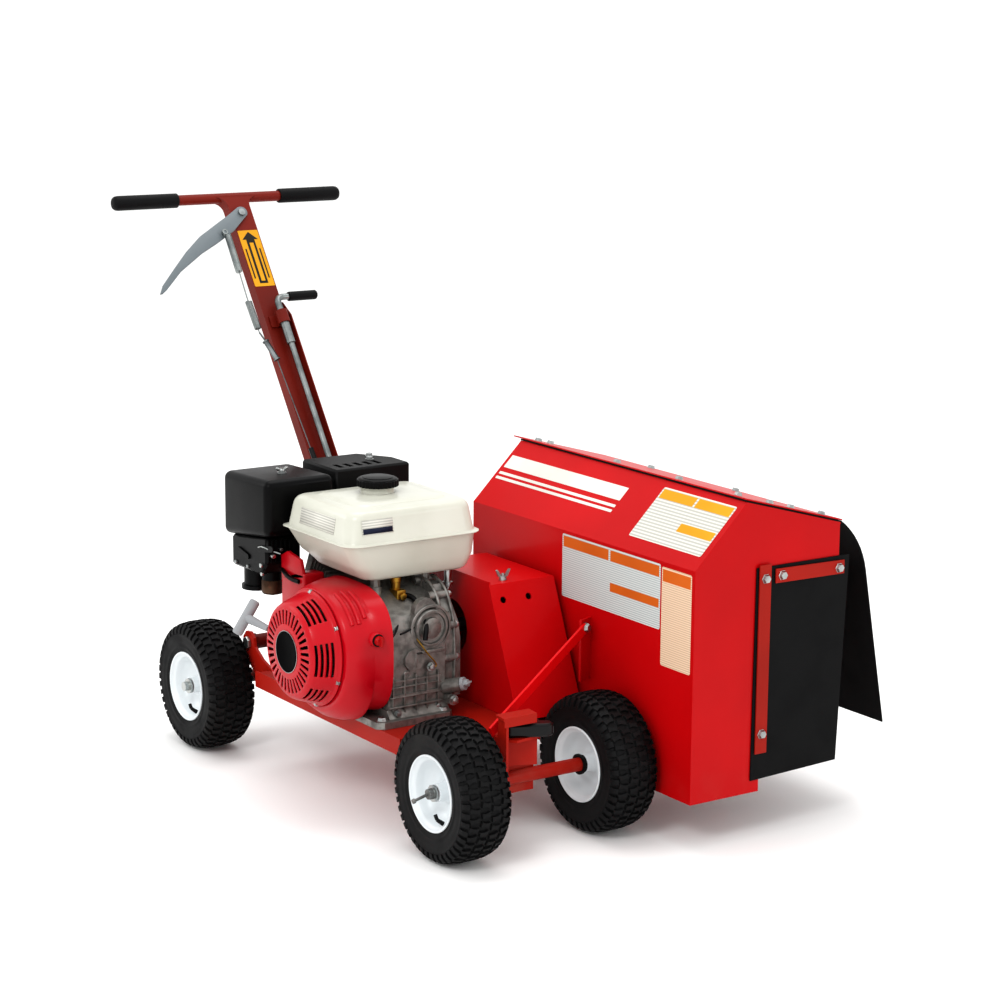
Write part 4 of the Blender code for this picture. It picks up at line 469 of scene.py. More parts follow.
def addPrism(form, axis, outline, low, high, ease=0.0, segments=2, matrix=None):
    # an outline in the plane across the axis, drawn out from low to high
    put = {"x": lambda a, b, c: (c, a, b), "y": lambda a, b, c: (a, c, b),
           "z": lambda a, b, c: (a, b, c)}[axis]
    old = set(form.verts)
    face = form.faces.new([form.verts.new(put(a, b, low)) for a, b in outline])
    drawn = bmesh.ops.extrude_face_region(form, geom=[face], use_keep_orig=True)["geom"]
    tops = [item for item in drawn if isinstance(item, bmesh.types.BMVert)]
    bmesh.ops.translate(form, vec=put(0, 0, high - low), verts=tops)
    made = newVerts(form, old)
    bmesh.ops.recalc_face_normals(form, faces=linked(made, "link_faces"))
    if matrix:
        bmesh.ops.transform(form, matrix=matrix, verts=made)
    if ease:
        easeEdges(form, sharpEdges(linked(made, "link_edges"), 25), ease, segments)


def addTube(form, points, radius, round=3, fine=8):
    # a round tube along a smooth line through the points
    curve = bpy.data.curves.new("line", "CURVE")
    curve.dimensions = "3D"
    curve.bevel_depth = radius
    curve.bevel_resolution = round
    curve.use_fill_caps = True
    curve.resolution_u = fine
    line = curve.splines.new("BEZIER")
    line.bezier_points.add(len(points) - 1)
    for knot, point in zip(line.bezier_points, points):
        knot.co = point
        knot.handle_left_type = "AUTO"
        knot.handle_right_type = "AUTO"
    holder = bpy.data.objects.new("line", curve)
    bpy.context.scene.collection.objects.link(holder)
    bpy.context.view_layer.update()
    solid = holder.evaluated_get(bpy.context.evaluated_depsgraph_get())
    mesh = bpy.data.meshes.new_from_object(solid)
    form.from_mesh(mesh)
    bpy.data.objects.remove(holder)
    bpy.data.meshes.remove(mesh)


def arc(centre, radius, start, end, steps):
    turns = [math.radians(start + (end - start) * i / steps) for i in range(steps + 1)]
    return [(centre[0] + radius * math.cos(turn), centre[1] + radius * math.sin(turn))
            for turn in turns]


def addLoft(form, rows, ends=True):
    # skins closed rows of points one after the other
    loops = []
    for row in rows:
        verts = [form.verts.new(point) for point in row]
        loops.append([form.edges.new((a, b)) for a, b in zip(verts, verts[1:] + verts[:1])])
    for low, high in zip(loops, loops[1:]):
        bmesh.ops.bridge_loops(form, edges=low + high)
    if ends:
        for loop in (loops[0], loops[-1]):
            bmesh.ops.contextual_create(form, geom=loop)
    bmesh.ops.recalc_face_normals(form, faces=form.faces)


def makeDetails(details):
    # small pieces on the frame: each row is the function that adds a shape and its terms
    for name, (finish, slot, rows) in details.items():
        form = bmesh.new()
        for add, *terms in rows:
            add(form, *terms)
        machinePiece(name, form, finish)


columnPlace = {
    "centre": Vector((0.238, 1.227, 1.046)),
    "up": Vector((0, 0.57643, 0.81714)),
    "out": Vector((0, -0.81714, 0.57643)),
    "halfDeep": 0.0127,
}


def columnPoint(across, along, out=0.0):
    c = columnPlace
    return c["centre"] + Vector((across, 0, 0)) + c["up"] * along + c["out"] * out


def columnMatrix():
    # x across the column, y up along it, z out of its front face
    c = columnPlace
    turn = Matrix((Vector((1, 0, 0)), c["up"], c["out"])).transposed().to_4x4()
    return Matrix.Translation(c["centre"]) @ turn


# solids that are shown as they are
nodeFinish = {
    "clutch_cable": "cableBlack", "crankshaft": "wornSteel", "rotor_shaft": "wornSteel",
    "drive_belt": "beltRubber", "idler_arm": "wornSteel", "idler_pulley": "zinc",
    "cutter_rotor": "rotorIron", "shaft_bearing": "castAluminium",
    "starter_reel": "engineBlack", "recoil_rope": "rope", "muffler": "mufflerSteel",
}


def dressNodes():
    for node, finish in nodeFinish.items():
        mesh = nodes[node].data
        mesh.materials.clear()
        mesh.materials.append(finishes[finish].material)
    print("nodes dressed")


# wheels
wheelPlaces = {
    "front_left": (0.0, 0.0), "front_right": (0.312, 0.0),
    "rear_left": (-0.047, 0.83), "rear_right": (0.359, 0.83),
}
tyre = {
    "height": 0.127,          # axle above the ground
    "turned": 0.37,           # each wheel stands this much further round
    "carcass": [
        # x, radius from the bead over the sidewall to the tread's middle
        (0.0395, 0.0675), (0.044, 0.069), (0.0452, 0.074), (0.047, 0.0775),
        (0.0474, 0.08), (0.0466, 0.0812), (0.0478, 0.087), (0.0482, 0.096),
        (0.0478, 0.1015), (0.0484, 0.103), (0.048, 0.105), (0.0462, 0.1062),
        (0.044, 0.111), (0.0405, 0.1165), (0.034, 0.12), (0.022, 0.122),
        (0.01, 0.1228), (0.0, 0.123),
    ],
    "steps": 88,
    "around": 44,             # lugs in each ring
    "rows": (-0.0318, -0.0106, 0.0106, 0.0318),
    "lug": [
        (-0.0094, 0.0056), (-0.0036, 0.004), (0.0036, 0.004), (0.0094, 0.0062),
        (0.0086, -0.0056), (0.0034, -0.0038), (-0.0034, -0.0038), (-0.0088, -0.0062),
    ],
    "top": 0.86,              # size of a lug's top over its foot
    "lean": 0.16,
    "sunk": 0.0012, "high": 0.0044, "outside": 0.12695,
    "lugBend": 0.125,         # radius that a lug is laid around
    "lining": [(-0.0385, 0.07), (-0.038, 0.085), (0.038, 0.085), (0.0385, 0.07)],
    "shoulder": [
        # x, radius, 0 in the carcass or 1 outside it
        (0.04, 0.116, 0), (0.044, 0.1105, 0), (0.0474, 0.105, 0), (0.0489, 0.106, 1),
        (0.0484, 0.112, 1), (0.0455, 0.1176, 1), (0.0425, 0.1205, 1), (0.0412, 0.1215, 1),
    ],
    "shoulderWide": 0.0112, "shoulderTaper": 0.14, "shoulderBend": 0.122,
}


def crownRadius(x):
    # height of the carcass under a lug
    points = sorted(tyre["carcass"][11:])
    x = abs(x)
    for (ax, ar), (bx, br) in zip(points, points[1:]):
        if x <= bx:
            return ar + (br - ar) * (x - ax) / (bx - ax)
    return points[-1][1]


def aroundAxle(x, radius, angle):
    return x, -radius * math.sin(angle), radius * math.cos(angle)


def addLug(form, outline, spin, rowX, lean):
    # one tread block: outline raised, tapered and laid on the carcass
    verts = [form.verts.new((x * math.cos(lean) - y * math.sin(lean),
                             x * math.sin(lean) + y * math.cos(lean), 0))
             for x, y in outline]
    face = form.faces.new(verts)
    raised = bmesh.ops.extrude_face_region(form, geom=[face], use_keep_orig=True)["geom"]
    tops = [item for item in raised if isinstance(item, bmesh.types.BMVert)]
    middle = sum((vert.co for vert in tops), Vector()) / len(tops)
    bmesh.ops.scale(form, vec=(tyre["top"], tyre["top"], 1), verts=tops,
                    space=Matrix.Translation(-middle))
    for vert in verts + tops:
        x = rowX + vert.co.x
        crown = crownRadius(x)
        radius = min(crown + tyre["high"], tyre["outside"]) if vert in tops \
            else crown - tyre["sunk"]
        vert.co = aroundAxle(x, radius, spin + vert.co.y / tyre["lugBend"])


def addShoulder(form, side, spin):
    # shoulder block that wraps from the tread down onto the sidewall
    rings = []
    for half in (-tyre["shoulderWide"] / 2, tyre["shoulderWide"] / 2):
        ring = []
        for x, radius, out in tyre["shoulder"]:
            along = half * (1 - tyre["shoulderTaper"] * out)
            angle = spin + along / tyre["shoulderBend"]
            ring.append(form.verts.new(aroundAxle(side * x, radius, angle)))
        rings.append(ring)
    near, far = rings
    form.faces.new(near)
    form.faces.new(list(reversed(far)))
    for k in range(len(near)):
        after = (k + 1) % len(near)
        form.faces.new((near[after], near[k], far[k], far[after]))


def makeTyreForm():
    form = bmesh.new()
    half = tyre["carcass"]
    profile = half + [(-x, r) for x, r in reversed(half[:-1])] + tyre["lining"]
    addTurned(form, profile, tyre["steps"], closed=True)
    step = 2 * math.pi / tyre["around"]
    mirrored = [(x, -y) for x, y in reversed(tyre["lug"])]
    for k in range(tyre["around"]):
        for row, rowX in enumerate(tyre["rows"]):
            lean = tyre["lean"] if (row + k) % 2 else -tyre["lean"]
            addLug(form, tyre["lug"] if row % 2 else mirrored, (k + 0.5 * (row % 2)) * step,
                   rowX, lean)
        addShoulder(form, 1, k * step)
        addShoulder(form, -1, (k + 0.5) * step)
    bmesh.ops.recalc_face_normals(form, faces=form.faces)
    return form


rim = {
    "half": [
        # x, radius of the visible face from the rolled lip to the hub
        (0.033, 0.0655), (0.0395, 0.0668), (0.044, 0.069), (0.0458, 0.0686),
        (0.0466, 0.0672), (0.0462, 0.0656), (0.0446, 0.0648), (0.0425, 0.064),
        (0.04, 0.0612), (0.0385, 0.0588), (0.036, 0.0576), (0.026, 0.056),
        (0.017, 0.051), (0.0105, 0.042), (0.0075, 0.031), (0.0085, 0.022),
        (0.013, 0.0178), (0.02, 0.0166), (0.0335, 0.0163), (0.034, 0.0155),
        (0.034, 0.0128), (0.0325, 0.0122), (0.0325, 0.0112),
    ],
    "steps": 72,
    # reach along the axle and radius, from the wheel's middle towards the frame
    "sleeve": [(0.0335, 0.0128), (0.0335, 0.0163), (0.038, 0.0163), (0.039, 0.0188),
               (0.043, 0.0188), (0.043, 0.015), (0.0405, 0.014), (0.0405, 0.0128)],
    "well": [(-0.033, 0.064), (-0.02, 0.059), (0.02, 0.059), (0.033, 0.064)],
    "race": [(0.0331, 0.0123), (0.0338, 0.012), (0.0338, 0.0098), (0.03, 0.0098),
             (0.03, 0.0123)],
    # root, neck and tip, outwards from the wheel's middle
    "valve": [(0.037, -0.03, -0.047), (0.047, -0.026, -0.039),
              (0.0482, -0.0215, -0.0305)],
    "valveRadii": (0.0042, 0.0034),
}


def makeRimForm():
    form = bmesh.new()
    half = rim["half"]
    profile = half + [(-x, r) for x, r in reversed(half)] + rim["well"]
    addTurned(form, profile, rim["steps"], closed=True)
    return form


def makeWheels():
    tyreForm, rimForm = makeTyreForm(), makeRimForm()
    for index, (name, (wheelX, wheelY)) in enumerate(wheelPlaces.items()):
        body = "wheel_" + name
        centre = spot(wheelX, wheelY, tyre["height"])
        place = Matrix.Translation(centre)
        turn = Matrix.Rotation(tyre["turned"] * index, 4, "X")
        form = tyreForm.copy()
        bmesh.ops.transform(form, matrix=place @ turn, verts=form.verts)
        finishPiece("turfTyre_" + name, form, "tyreRubber", "tyre_" + name, angle=50)
        form = rimForm.copy()
        bmesh.ops.transform(form, matrix=place, verts=form.verts)
        finishPiece("pressedRim_" + name, form, "rimWhite", "rim_" + name, angle=50)
        form = bmesh.new()
        for side in (-1, 1):
            ring = [(side * x, r) for x, r in rim["race"]]
            addTurned(form, ring, 40, at=centre, closed=True)
        finishPiece("hubRace_" + name, form, "zinc", angle=40, body=body)
        if name == "front_right":
            form = bmesh.new()
            addTurned(form, [(-x, r) for x, r in rim["sleeve"]], 48, at=centre, closed=True)
            finishPiece("hubSeal_" + name, form, "satinBlack", angle=40,
                        body=body)
        form = bmesh.new()
        side = 1 if "right" in name else -1
        root, neck, tip = [centre + Vector((side * x, y, z)) for x, y, z in rim["valve"]]
        thick, thin = rim["valveRadii"]
        addRod(form, root, neck, thick, 16, 0.8)
        addRod(form, neck, tip, thin, 16, 0.95)
        finishPiece("valveStem_" + name, form, "cableBlack", angle=40,
                    body=body)
    tyreForm.free()
    rimForm.free()
    print("wheels made")


def makeFloor():
    form = bmesh.new()
    bmesh.ops.create_grid(form, x_segments=1, y_segments=1, size=12)
    mesh = bpy.data.meshes.new("floor")
    form.to_mesh(mesh)
    form.free()
    floor = bpy.data.objects.new("floor", mesh)
    bpy.context.scene.collection.objects.link(floor)
    finish = Finish("studioFloor", {"Roughness": 0.9})
    finish.set("Base Color", rgb(studio["floor"]))
    mesh.materials.append(finish.material)


# engine
up, down, ahead, right = (0, 0, 1), (0, 0, -1), (0, -1, 0), (1, 0, 0)
recoil = {
    "centre": (0.0, 0.337, 0.317),
    "skin": [
        # x and radius from the middle of the face to the joint with the shroud
        (-0.1375, 0.0), (-0.1375, 0.042), (-0.1375, 0.0495), (-0.1372, 0.0505),
        (-0.1362, 0.0635), (-0.135, 0.076), (-0.134, 0.08), (-0.1322, 0.0835),
        (-0.13, 0.0864), (-0.1284, 0.0876), (-0.1238, 0.0899), (-0.119, 0.0921),
        (-0.1144, 0.0937), (-0.1094, 0.0953), (-0.1048, 0.0967), (-0.0998, 0.0981),
        (-0.0952, 0.0994), (-0.09, 0.101), (-0.0872, 0.103), (-0.0862, 0.1052),
        (-0.085, 0.1062), (-0.0826, 0.1062),
    ],
    "steps": 340,
    "slots": 34,
    "slotShare": 5,           # columns of the ten between slots that are open
    "ring": (0.0505, 0.076),
    "faceEnd": -0.134,
    "groups": ((120, 36), (180, 38), (231, 27)),
    "bands": ((-0.1284, -0.1238), (-0.119, -0.1144), (-0.1094, -0.1048),
              (-0.0998, -0.0952)),
    "wall": 0.0026,
    "badge": [(-0.1373, 0.0), (-0.1373, 0.0375), (-0.1386, 0.0375), (-0.1391, 0.0369),
              (-0.1393, 0.0345), (-0.1389, 0.0339), (-0.1389, 0.0)],
    "badgeRing": [(-0.1373, 0.0378), (-0.1388, 0.0378), (-0.1388, 0.0388),
                  (-0.1373, 0.0388)],
    "screwTurns": (148, 205, 262, 325, 30, 88),
    "screwSpot": (-0.085, 0.1022),
}
shroud = {
    # x, reach to the front, back, top and bottom of the crankshaft, squareness
    "rows": (
        (-0.082, 0.1062, 0.1062, 0.1062, 0.1062, 2.0),
        (-0.079, 0.114, 0.114, 0.1085, 0.116, 2.05),
        (-0.074, 0.1165, 0.1168, 0.11, 0.1198, 2.1),
        (-0.06, 0.121, 0.124, 0.113, 0.131, 2.2),
        (-0.043, 0.124, 0.127, 0.115, 0.1365, 2.4),
        (-0.0285, 0.126, 0.129, 0.115, 0.1365, 2.6),
        (-0.0275, 0.1262, 0.129, 0.115, 0.1185, 2.7),
        (-0.012, 0.132, 0.1306, 0.115, 0.1185, 2.8),
        (0.0035, 0.138, 0.132, 0.115, 0.1185, 3.0),
        (0.0035, 0.05, 0.05, 0.05, 0.05, 2.0),
    ),
    "steps": 84,
    "ribs": ((-0.062, 112, 150), (-0.05, 112, 150), (-0.038, 114, 146)),
    "ribRadius": 0.0042,
    "duct": [(0.436, 0.335), (0.524, 0.346), (0.524, 0.408), (0.47, 0.426), (0.436, 0.428)],
    "wing": [(0.44, 0.42), (0.522, 0.404), (0.524, 0.448), (0.5, 0.46), (0.452, 0.452)],
    "boss": (-0.026, 0.352),
    "wall": 0.0022,
    "bossTop": [(0.0, 0.0), (0.0, 0.0135), (0.0165, 0.013), (0.0178, 0.012), (0.0178, 0.0)],
    "bossRing": [(0.0, 0.0116), (0.003, 0.0112), (0.003, 0.0085), (0.0, 0.0085)],
    "lead": [(-0.014, 0.2065, 0.348), (0.0, 0.212, 0.346), (0.024, 0.224, 0.358),
             (0.04, 0.242, 0.374)],
}


def makeRecoilCover():
    # spun drum; the slots are columns and bands of the skin that are left out
    r = recoil
    y, z = r["centre"][1:]
    form = bmesh.new()
    addTurned(form, r["skin"], r["steps"])
    pitch = 360 / r["slots"]
    near, far = r["ring"]
    gone = []
    for face in form.faces:
        middle = face.calc_center_median()
        radius = math.hypot(middle.y, middle.z)
        turn = math.degrees(math.atan2(middle.z, middle.y)) % 360
        if middle.x < r["faceEnd"]:
            slotted = near < radius < far and turn % pitch * 10 / pitch < r["slotShare"]
        else:
            slotted = any(low < middle.x < high for low, high in r["bands"]) and any(
                abs(turn - centre) < span / 2 for centre, span in r["groups"])
        if slotted:
            gone.append(face)
    bmesh.ops.delete(form, geom=gone, context="FACES")
    bmesh.ops.translate(form, vec=r["centre"], verts=form.verts)
    cover = machinePiece("recoilDrum", form, "coverCrimson", "recoil_cover", angle=32)
    thicken(cover, r["wall"])
    x, reach = r["screwSpot"]
    turns = [math.radians(turn) for turn in r["screwTurns"]]
    spots = [(x, y + reach * math.cos(turn), z + reach * math.sin(turn)) for turn in turns]
    makeDetails({
        "recoilBadge": ("badgeBlack", "engine_black", [
            (addTurned, r["badge"], 64, right, (0, y, z))]),
        "recoilScrews": ("zinc", "zinc", [
            (addTurned, r["badgeRing"], 64, right, (0, y, z), True),
            *[(addBolt, at, (-1, 0, 0), 0.0075, 0.003) for at in spots]]),
    })


def shroudPoint(row, turn):
    x, front, back, top, low, power = row
    y, z = math.cos(turn), math.sin(turn)
    size = (abs(y) ** power + abs(z) ** power) ** (-1 / power)
    return (x, recoil["centre"][1] + (back if y > 0 else front) * size * y,
            recoil["centre"][2] + (top if z > 0 else low) * size * z)


def shroudRow(x):
    rows = shroud["rows"][:-1]
    for low, high in zip(rows, rows[1:]):
        if low[0] <= x <= high[0]:
            share = (x - low[0]) / (high[0] - low[0])
            return tuple(a + (b - a) * share for a, b in zip(low, high))
    return rows[-1]


def makeShroud():
    s = shroud
    form = bmesh.new()
    turns = [2 * math.pi * k / s["steps"] for k in range(s["steps"])]
    addLoft(form, [[shroudPoint(row, turn) for turn in turns] for row in s["rows"]], False)
    cover = machinePiece("shroudPressing", form, "coverCrimson", "fan_cover", angle=38)
    thicken(cover, s["wall"])
    form = bmesh.new()
    addPrism(form, "x", s["duct"], -0.044, -0.001, 0.004, 3)
    x, z = s["boss"]
    addTurned(form, s["bossTop"], 40, ahead, (x, 0.222, z))
    for ribX, start, end in s["ribs"]:
        row = shroudRow(ribX)
        points = [shroudPoint(row, math.radians(turn)) for turn in range(start, end + 1, 6)]
        addTube(form, points, s["ribRadius"])
    addPrism(form, "x", s["wing"], -0.044, -0.037, 0.001)
    machinePiece("shroudDetails", form, "coverCrimson", angle=40)
    makeDetails({"switchLead": ("cableBlack", "sheath", [
        (addTurned, s["bossRing"], 36, ahead, (x, 0.2046, z), True),
        (addTube, s["lead"], 0.0019)])})


tank = {
    "box": (-0.053, 0.24, 0.26, 0.514),   # left, right, front, back
    "rows": (
        # z, inset, corner, cut at the left, cut at the back
        (0.4385, 0.036, 0.02, 0.03, 0.022), (0.4387, 0.03, 0.023, 0.03, 0.022),
        (0.4398, 0.024, 0.025, 0.03, 0.022), (0.4425, 0.0205, 0.027, 0.03, 0.022),
        (0.446, 0.018, 0.028, 0.03, 0.022), (0.456, 0.0145, 0.029, 0.0254, 0.0185),
        (0.4685, 0.0105, 0.03, 0.016, 0.012), (0.5035, 0.0072, 0.032, 0.0015, 0.001),
        (0.507, 0.0062, 0.032, 0, 0), (0.5085, 0.004, 0.033, 0, 0),
        (0.509, 0.0006, 0.034, 0, 0), (0.5094, 0, 0.034, 0, 0), (0.5106, 0, 0.034, 0, 0),
        (0.511, 0.0006, 0.034, 0, 0), (0.5114, 0.0045, 0.033, 0, 0),
        (0.513, 0.0072, 0.032, 0, 0), (0.516, 0.0084, 0.032, 0, 0),
        (0.555, 0.0148, 0.031, 0, 0), (0.561, 0.0168, 0.03, 0, 0),
        (0.5655, 0.02, 0.029, 0, 0), (0.5685, 0.0245, 0.028, 0, 0),
        (0.57, 0.031, 0.026, 0, 0), (0.5708, 0.046, 0.024, 0, 0),
        (0.5712, 0.048, 0.024, 0, 0), (0.5735, 0.0505, 0.024, 0, 0),
        (0.5746, 0.053, 0.023, 0, 0), (0.5752, 0.08, 0.02, 0, 0),
    ),
    "cap": (0.095, 0.405, 0.571),
    "neck": [(-0.002, 0.0345), (0.003, 0.0335), (0.0045, 0.0318), (0.012, 0.03),
             (0.0138, 0.03), (0.0138, 0.027), (-0.002, 0.027)],
    # side to side and up: from, to
    "endLabel": (0.329, 0.4525, 0.5225, 0.552),
    "faceLabel": (-0.0175, 0.047, 0.529, 0.555),
    "band": (-0.016, 0.0455, 0.5305, 0.54),
    "film": 0.0003,
}


def tankLoop(z, inset, corner, cutLeft, cutBack):
    left, right, front, back = tank["box"]
    left += inset + cutLeft
    right -= inset
    front += inset
    back -= inset + cutBack
    tight = min(corner, 0.02)
    points = []
    for x, y, start, radius in ((right, back, 0, tight), (left, back, 90, tight),
                                (left, front, 180, corner), (right, front, 270, corner)):
        centre = (x - radius if x > 0.1 else x + radius, y - radius if y > 0.39 else y + radius)
        points += [(a, b, z) for a, b in arc(centre, radius, start, start + 90, 9)]
    return points


def wallInset(z):
    # how far the upper half leans in at a height
    return 0.0084 + (z - 0.516) * (0.0148 - 0.0084) / (0.555 - 0.516)


def addLabel(form, label, height, end=False):
    # flat on the leaning wall at the tank's left end or on its front
    lowU, highU, lowZ, highZ = label
    left, _, front, _ = tank["box"]
    corners = []
    for u, z in ((lowU, lowZ), (highU, lowZ), (highU, highZ), (lowU, highZ)):
        out = wallInset(z) - height
        corners.append(form.verts.new((left + out, u, z) if end else (u, front + out, z)))
    form.faces.new(corners)


def makeTank():
    form = bmesh.new()
    addLoft(form, [tankLoop(*row) for row in tank["rows"]])
    addTurned(form, tank["neck"], 56, up, tank["cap"], True)
    machinePiece("tankPressing", form, "tankCream", "fuel_tank", angle=28)
    form = bmesh.new()
    addLabel(form, tank["endLabel"], 0.0004, end=True)
    addLabel(form, tank["faceLabel"], 0.0004)
    thicken(machinePiece("tankLabels", form, "panelWhite"),
            tank["film"], 0)
    form = bmesh.new()
    addLabel(form, tank["band"], 0.0008)
    thicken(machinePiece("tankLabelBand", form, "panelNavy"),
            tank["film"], 0)


fuelCap = {
    "ribs": 30, "radii": (0.0393, 0.0377),
    "rise": 0.0153,           # above the tank's neck
    "dome": [(0.011, 0.0372), (0.0138, 0.0362), (0.0152, 0.0335), (0.0158, 0.029),
             (0.016, 0.0), (0.011, 0.0)],
}


def makeFuelCap():
    x, y, top = tank["cap"]
    form = bmesh.new()
    outline = []
    steps = fuelCap["ribs"] * 4
    for k in range(steps):
        turn = 2 * math.pi * k / steps
        radius = fuelCap["radii"][0 if k % 4 < 2 else 1]
        outline.append((radius * math.cos(turn), radius * math.sin(turn)))
    addPrism(form, "z", outline, 0.0, 0.012, 0.0006)
    addTurned(form, fuelCap["dome"], 60, up, closed=True)
    addPrism(form, "z", arc((0, 0), 0.029, 0, 360, 48)[:-1], 0.0155, 0.0168, 0.0006)
    bmesh.ops.translate(form, vec=(x, y, top + fuelCap["rise"]), verts=form.verts)
    machinePiece("ribbedCap", form, "engineBlack", "fuel_cap")


filterSide = [(0.516, 0.484), (0.69, 0.462), (0.69, 0.585), (0.516, 0.591)]
filterWing = [(0.003, 0.5915), (0.0085, 0.5925), (0.0125, 0.5965), (0.012, 0.5995),
              (0.009, 0.6), (0.003, 0.5965)]
bodyScrews = ((0.5536, 0.4249, 0.0048), (0.5504, 0.409, 0.004),   # y, z, radius
              (0.6534, 0.412, 0.0044), (0.606, 0.413, 0.0036))
intakeDetails = {
    "filterNut": ("zinc", "zinc", [
        (addRod, (-0.003, 0.592, 0.583), (-0.003, 0.592, 0.5905), 0.0095, 28, 0.95),
        (addRod, (-0.003, 0.592, 0.589), (-0.003, 0.592, 0.598), 0.0032, 16),
        (addRod, (-0.003, 0.592, 0.5905), (-0.003, 0.592, 0.5965), 0.0062, 24, 0.85, 0.0006),
        *[(addPrism, "y", [(side * x - 0.003, z) for x, z in filterWing], 0.5894, 0.5946,
           0.001) for side in (-1, 1)]]),
    "floatBowl": ("rustySteel", "zinc", [
        (addTurned, [(0.0, 0.0), (0.0, 0.0185), (0.004, 0.0205), (0.026, 0.0205),
                     (0.028, 0.019), (0.028, 0.0)], 40, up, (-0.029, 0.5855, 0.3605))]),
    "carburettorScrews": ("zinc", "zinc", [
        *[(addRod, (-0.068, y, z), (-0.0724, y, z), radius, 24, 0.9, 0.0005)
          for y, z, radius in bodyScrews],
        (addBolt, (-0.029, 0.5855, 0.3607), down, 0.0085, 0.0035),
        (addRod, (-0.058, 0.537, 0.446), (-0.058, 0.525, 0.446), 0.0042, 20, 1.0, 0.0005),
        (addRod, (-0.04, 0.537, 0.456), (-0.04, 0.528, 0.456), 0.0036, 20, 1.0, 0.0005),
        (addTube, [(-0.0745, 0.556, 0.46), (-0.0755, 0.54, 0.464),
                   (-0.07, 0.52, 0.461), (-0.058, 0.5, 0.456)], 0.0013)]),
    "carburettorRibs": ("engineBlack", "engine_black", [
        *[(addBlock, (-0.06 + k * 0.0095, 0.5325, 0.432),
           (-0.056 + k * 0.0095, 0.5365, 0.474), 0.0008) for k in range(7)],
        (addTube, [(-0.046, 0.452, 0.411), (-0.05, 0.478, 0.413),
                   (-0.048, 0.502, 0.418), (-0.038, 0.53, 0.423)], 0.0042, 4)]),
}


def makeIntake():
    form = bmesh.new()
    addPrism(form, "x", filterSide, -0.078, 0.069, 0.014, 6)
    machinePiece("filterCover", form, "engineBlack", "air_cleaner")
    makeDetails(intakeDetails)


block = {
    "flange": (0.098, 0.229, 0.354),
    "flangeRing": [(-0.018, 0.0435), (0.005, 0.043), (0.0062, 0.0418), (0.0062, 0.0385),
                   (0.003, 0.0378), (0.003, 0.0345), (0.0085, 0.0338), (0.0098, 0.0325),
                   (0.0098, 0.029), (0.005, 0.028), (0.0045, 0.02), (0.01, 0.019),
                   (0.0108, 0.0178), (0.0108, 0.0), (-0.018, 0.0)],
    "coverEdge": [(0.345, 0.424), (0.274, 0.42), (0.238, 0.372), (0.23, 0.33),
                  (0.23, 0.212)],
    "coverBeads": ((0.1285, 0.0034), (0.152, 0.003)),   # x, radius
    "coverBoss": [(-0.03, 0.0), (-0.03, 0.0088), (0.012, 0.0084), (0.0132, 0.0072),
                  (0.0132, 0.0)],
    "coverBolts": ((0.233, 0.23), (0.233, 0.29), (0.236, 0.35), (0.262, 0.402),
                   (0.31, 0.422), (0.37, 0.411), (0.416, 0.385), (0.436, 0.33),
                   (0.436, 0.26)),
    "plugs": (((0.052, 0.233, 0.3354), 0.0085), ((0.047, 0.23, 0.2732), 0.008)),
    "stud": [(0.0, 0.0), (0.0, 0.015), (0.012, 0.013), (0.03, 0.012), (0.03, 0.0)],
    "studs": (0.03, 0.136),
    "bolts": (
        # place, direction, across the flats, height of the head
        ((0.0925, 0.216, 0.284), ahead, 0.011, 0.006),
        ((0.135, 0.2045, 0.217), ahead, 0.013, 0.006),
        ((0.112, 0.224, 0.206), ahead, 0.01, 0.005),
        ((0.0225, 0.217, 0.206), ahead, 0.01, 0.005),
        ((0.1815, 0.3, 0.413), down, 0.013, 0.007),
    ),
}
fuelDetails = {
    "fuelFitting": ("brass", "zinc", [
        (addTurned, [(0.0, 0.0), (0.0, 0.01), (0.008, 0.01), (0.009, 0.0092),
                     (0.023, 0.0085), (0.023, 0.0)], 32, down, (0.067, 0.296, 0.4384)),
        (addBlock, (0.058, 0.276, 0.396), (0.077, 0.304, 0.417), 0.002),
        (addRod, (0.0675, 0.277, 0.406), (0.0675, 0.268, 0.406), 0.0072, 6, 1.0, 0.0006),
        (addTube, [(0.062, 0.272, 0.396), (0.06, 0.266, 0.38),
                   (0.068, 0.262, 0.373), (0.077, 0.265, 0.381),
                   (0.076, 0.272, 0.396)], 0.0015),
        (addTube, [(0.065, 0.23, 0.344), (0.072, 0.22, 0.33),
                   (0.086, 0.213, 0.308), (0.099, 0.211, 0.292),
                   (0.101, 0.211, 0.286), (0.097, 0.211, 0.283)], 0.0014)]),
    "fuelHose": ("cableBlack", "sheath", [
        (addTube, [(0.076, 0.29, 0.406), (0.087, 0.268, 0.402),
                   (0.0885, 0.246, 0.383), (0.085, 0.22, 0.36),
                   (0.078, 0.212, 0.336)], 0.0046, 4),
        (addTube, [(0.086, 0.252, 0.378), (0.076, 0.233, 0.364),
                   (0.052, 0.224, 0.356), (0.028, 0.216, 0.353)], 0.0018)]),
    "guardScrews": ("zinc", "zinc", [
        (addBolt, (0.212, 0.63, 0.5933), up, 0.011, 0.0048),
        (addBolt, (0.195, 0.601, 0.5933), up, 0.011, 0.0048)]),
}


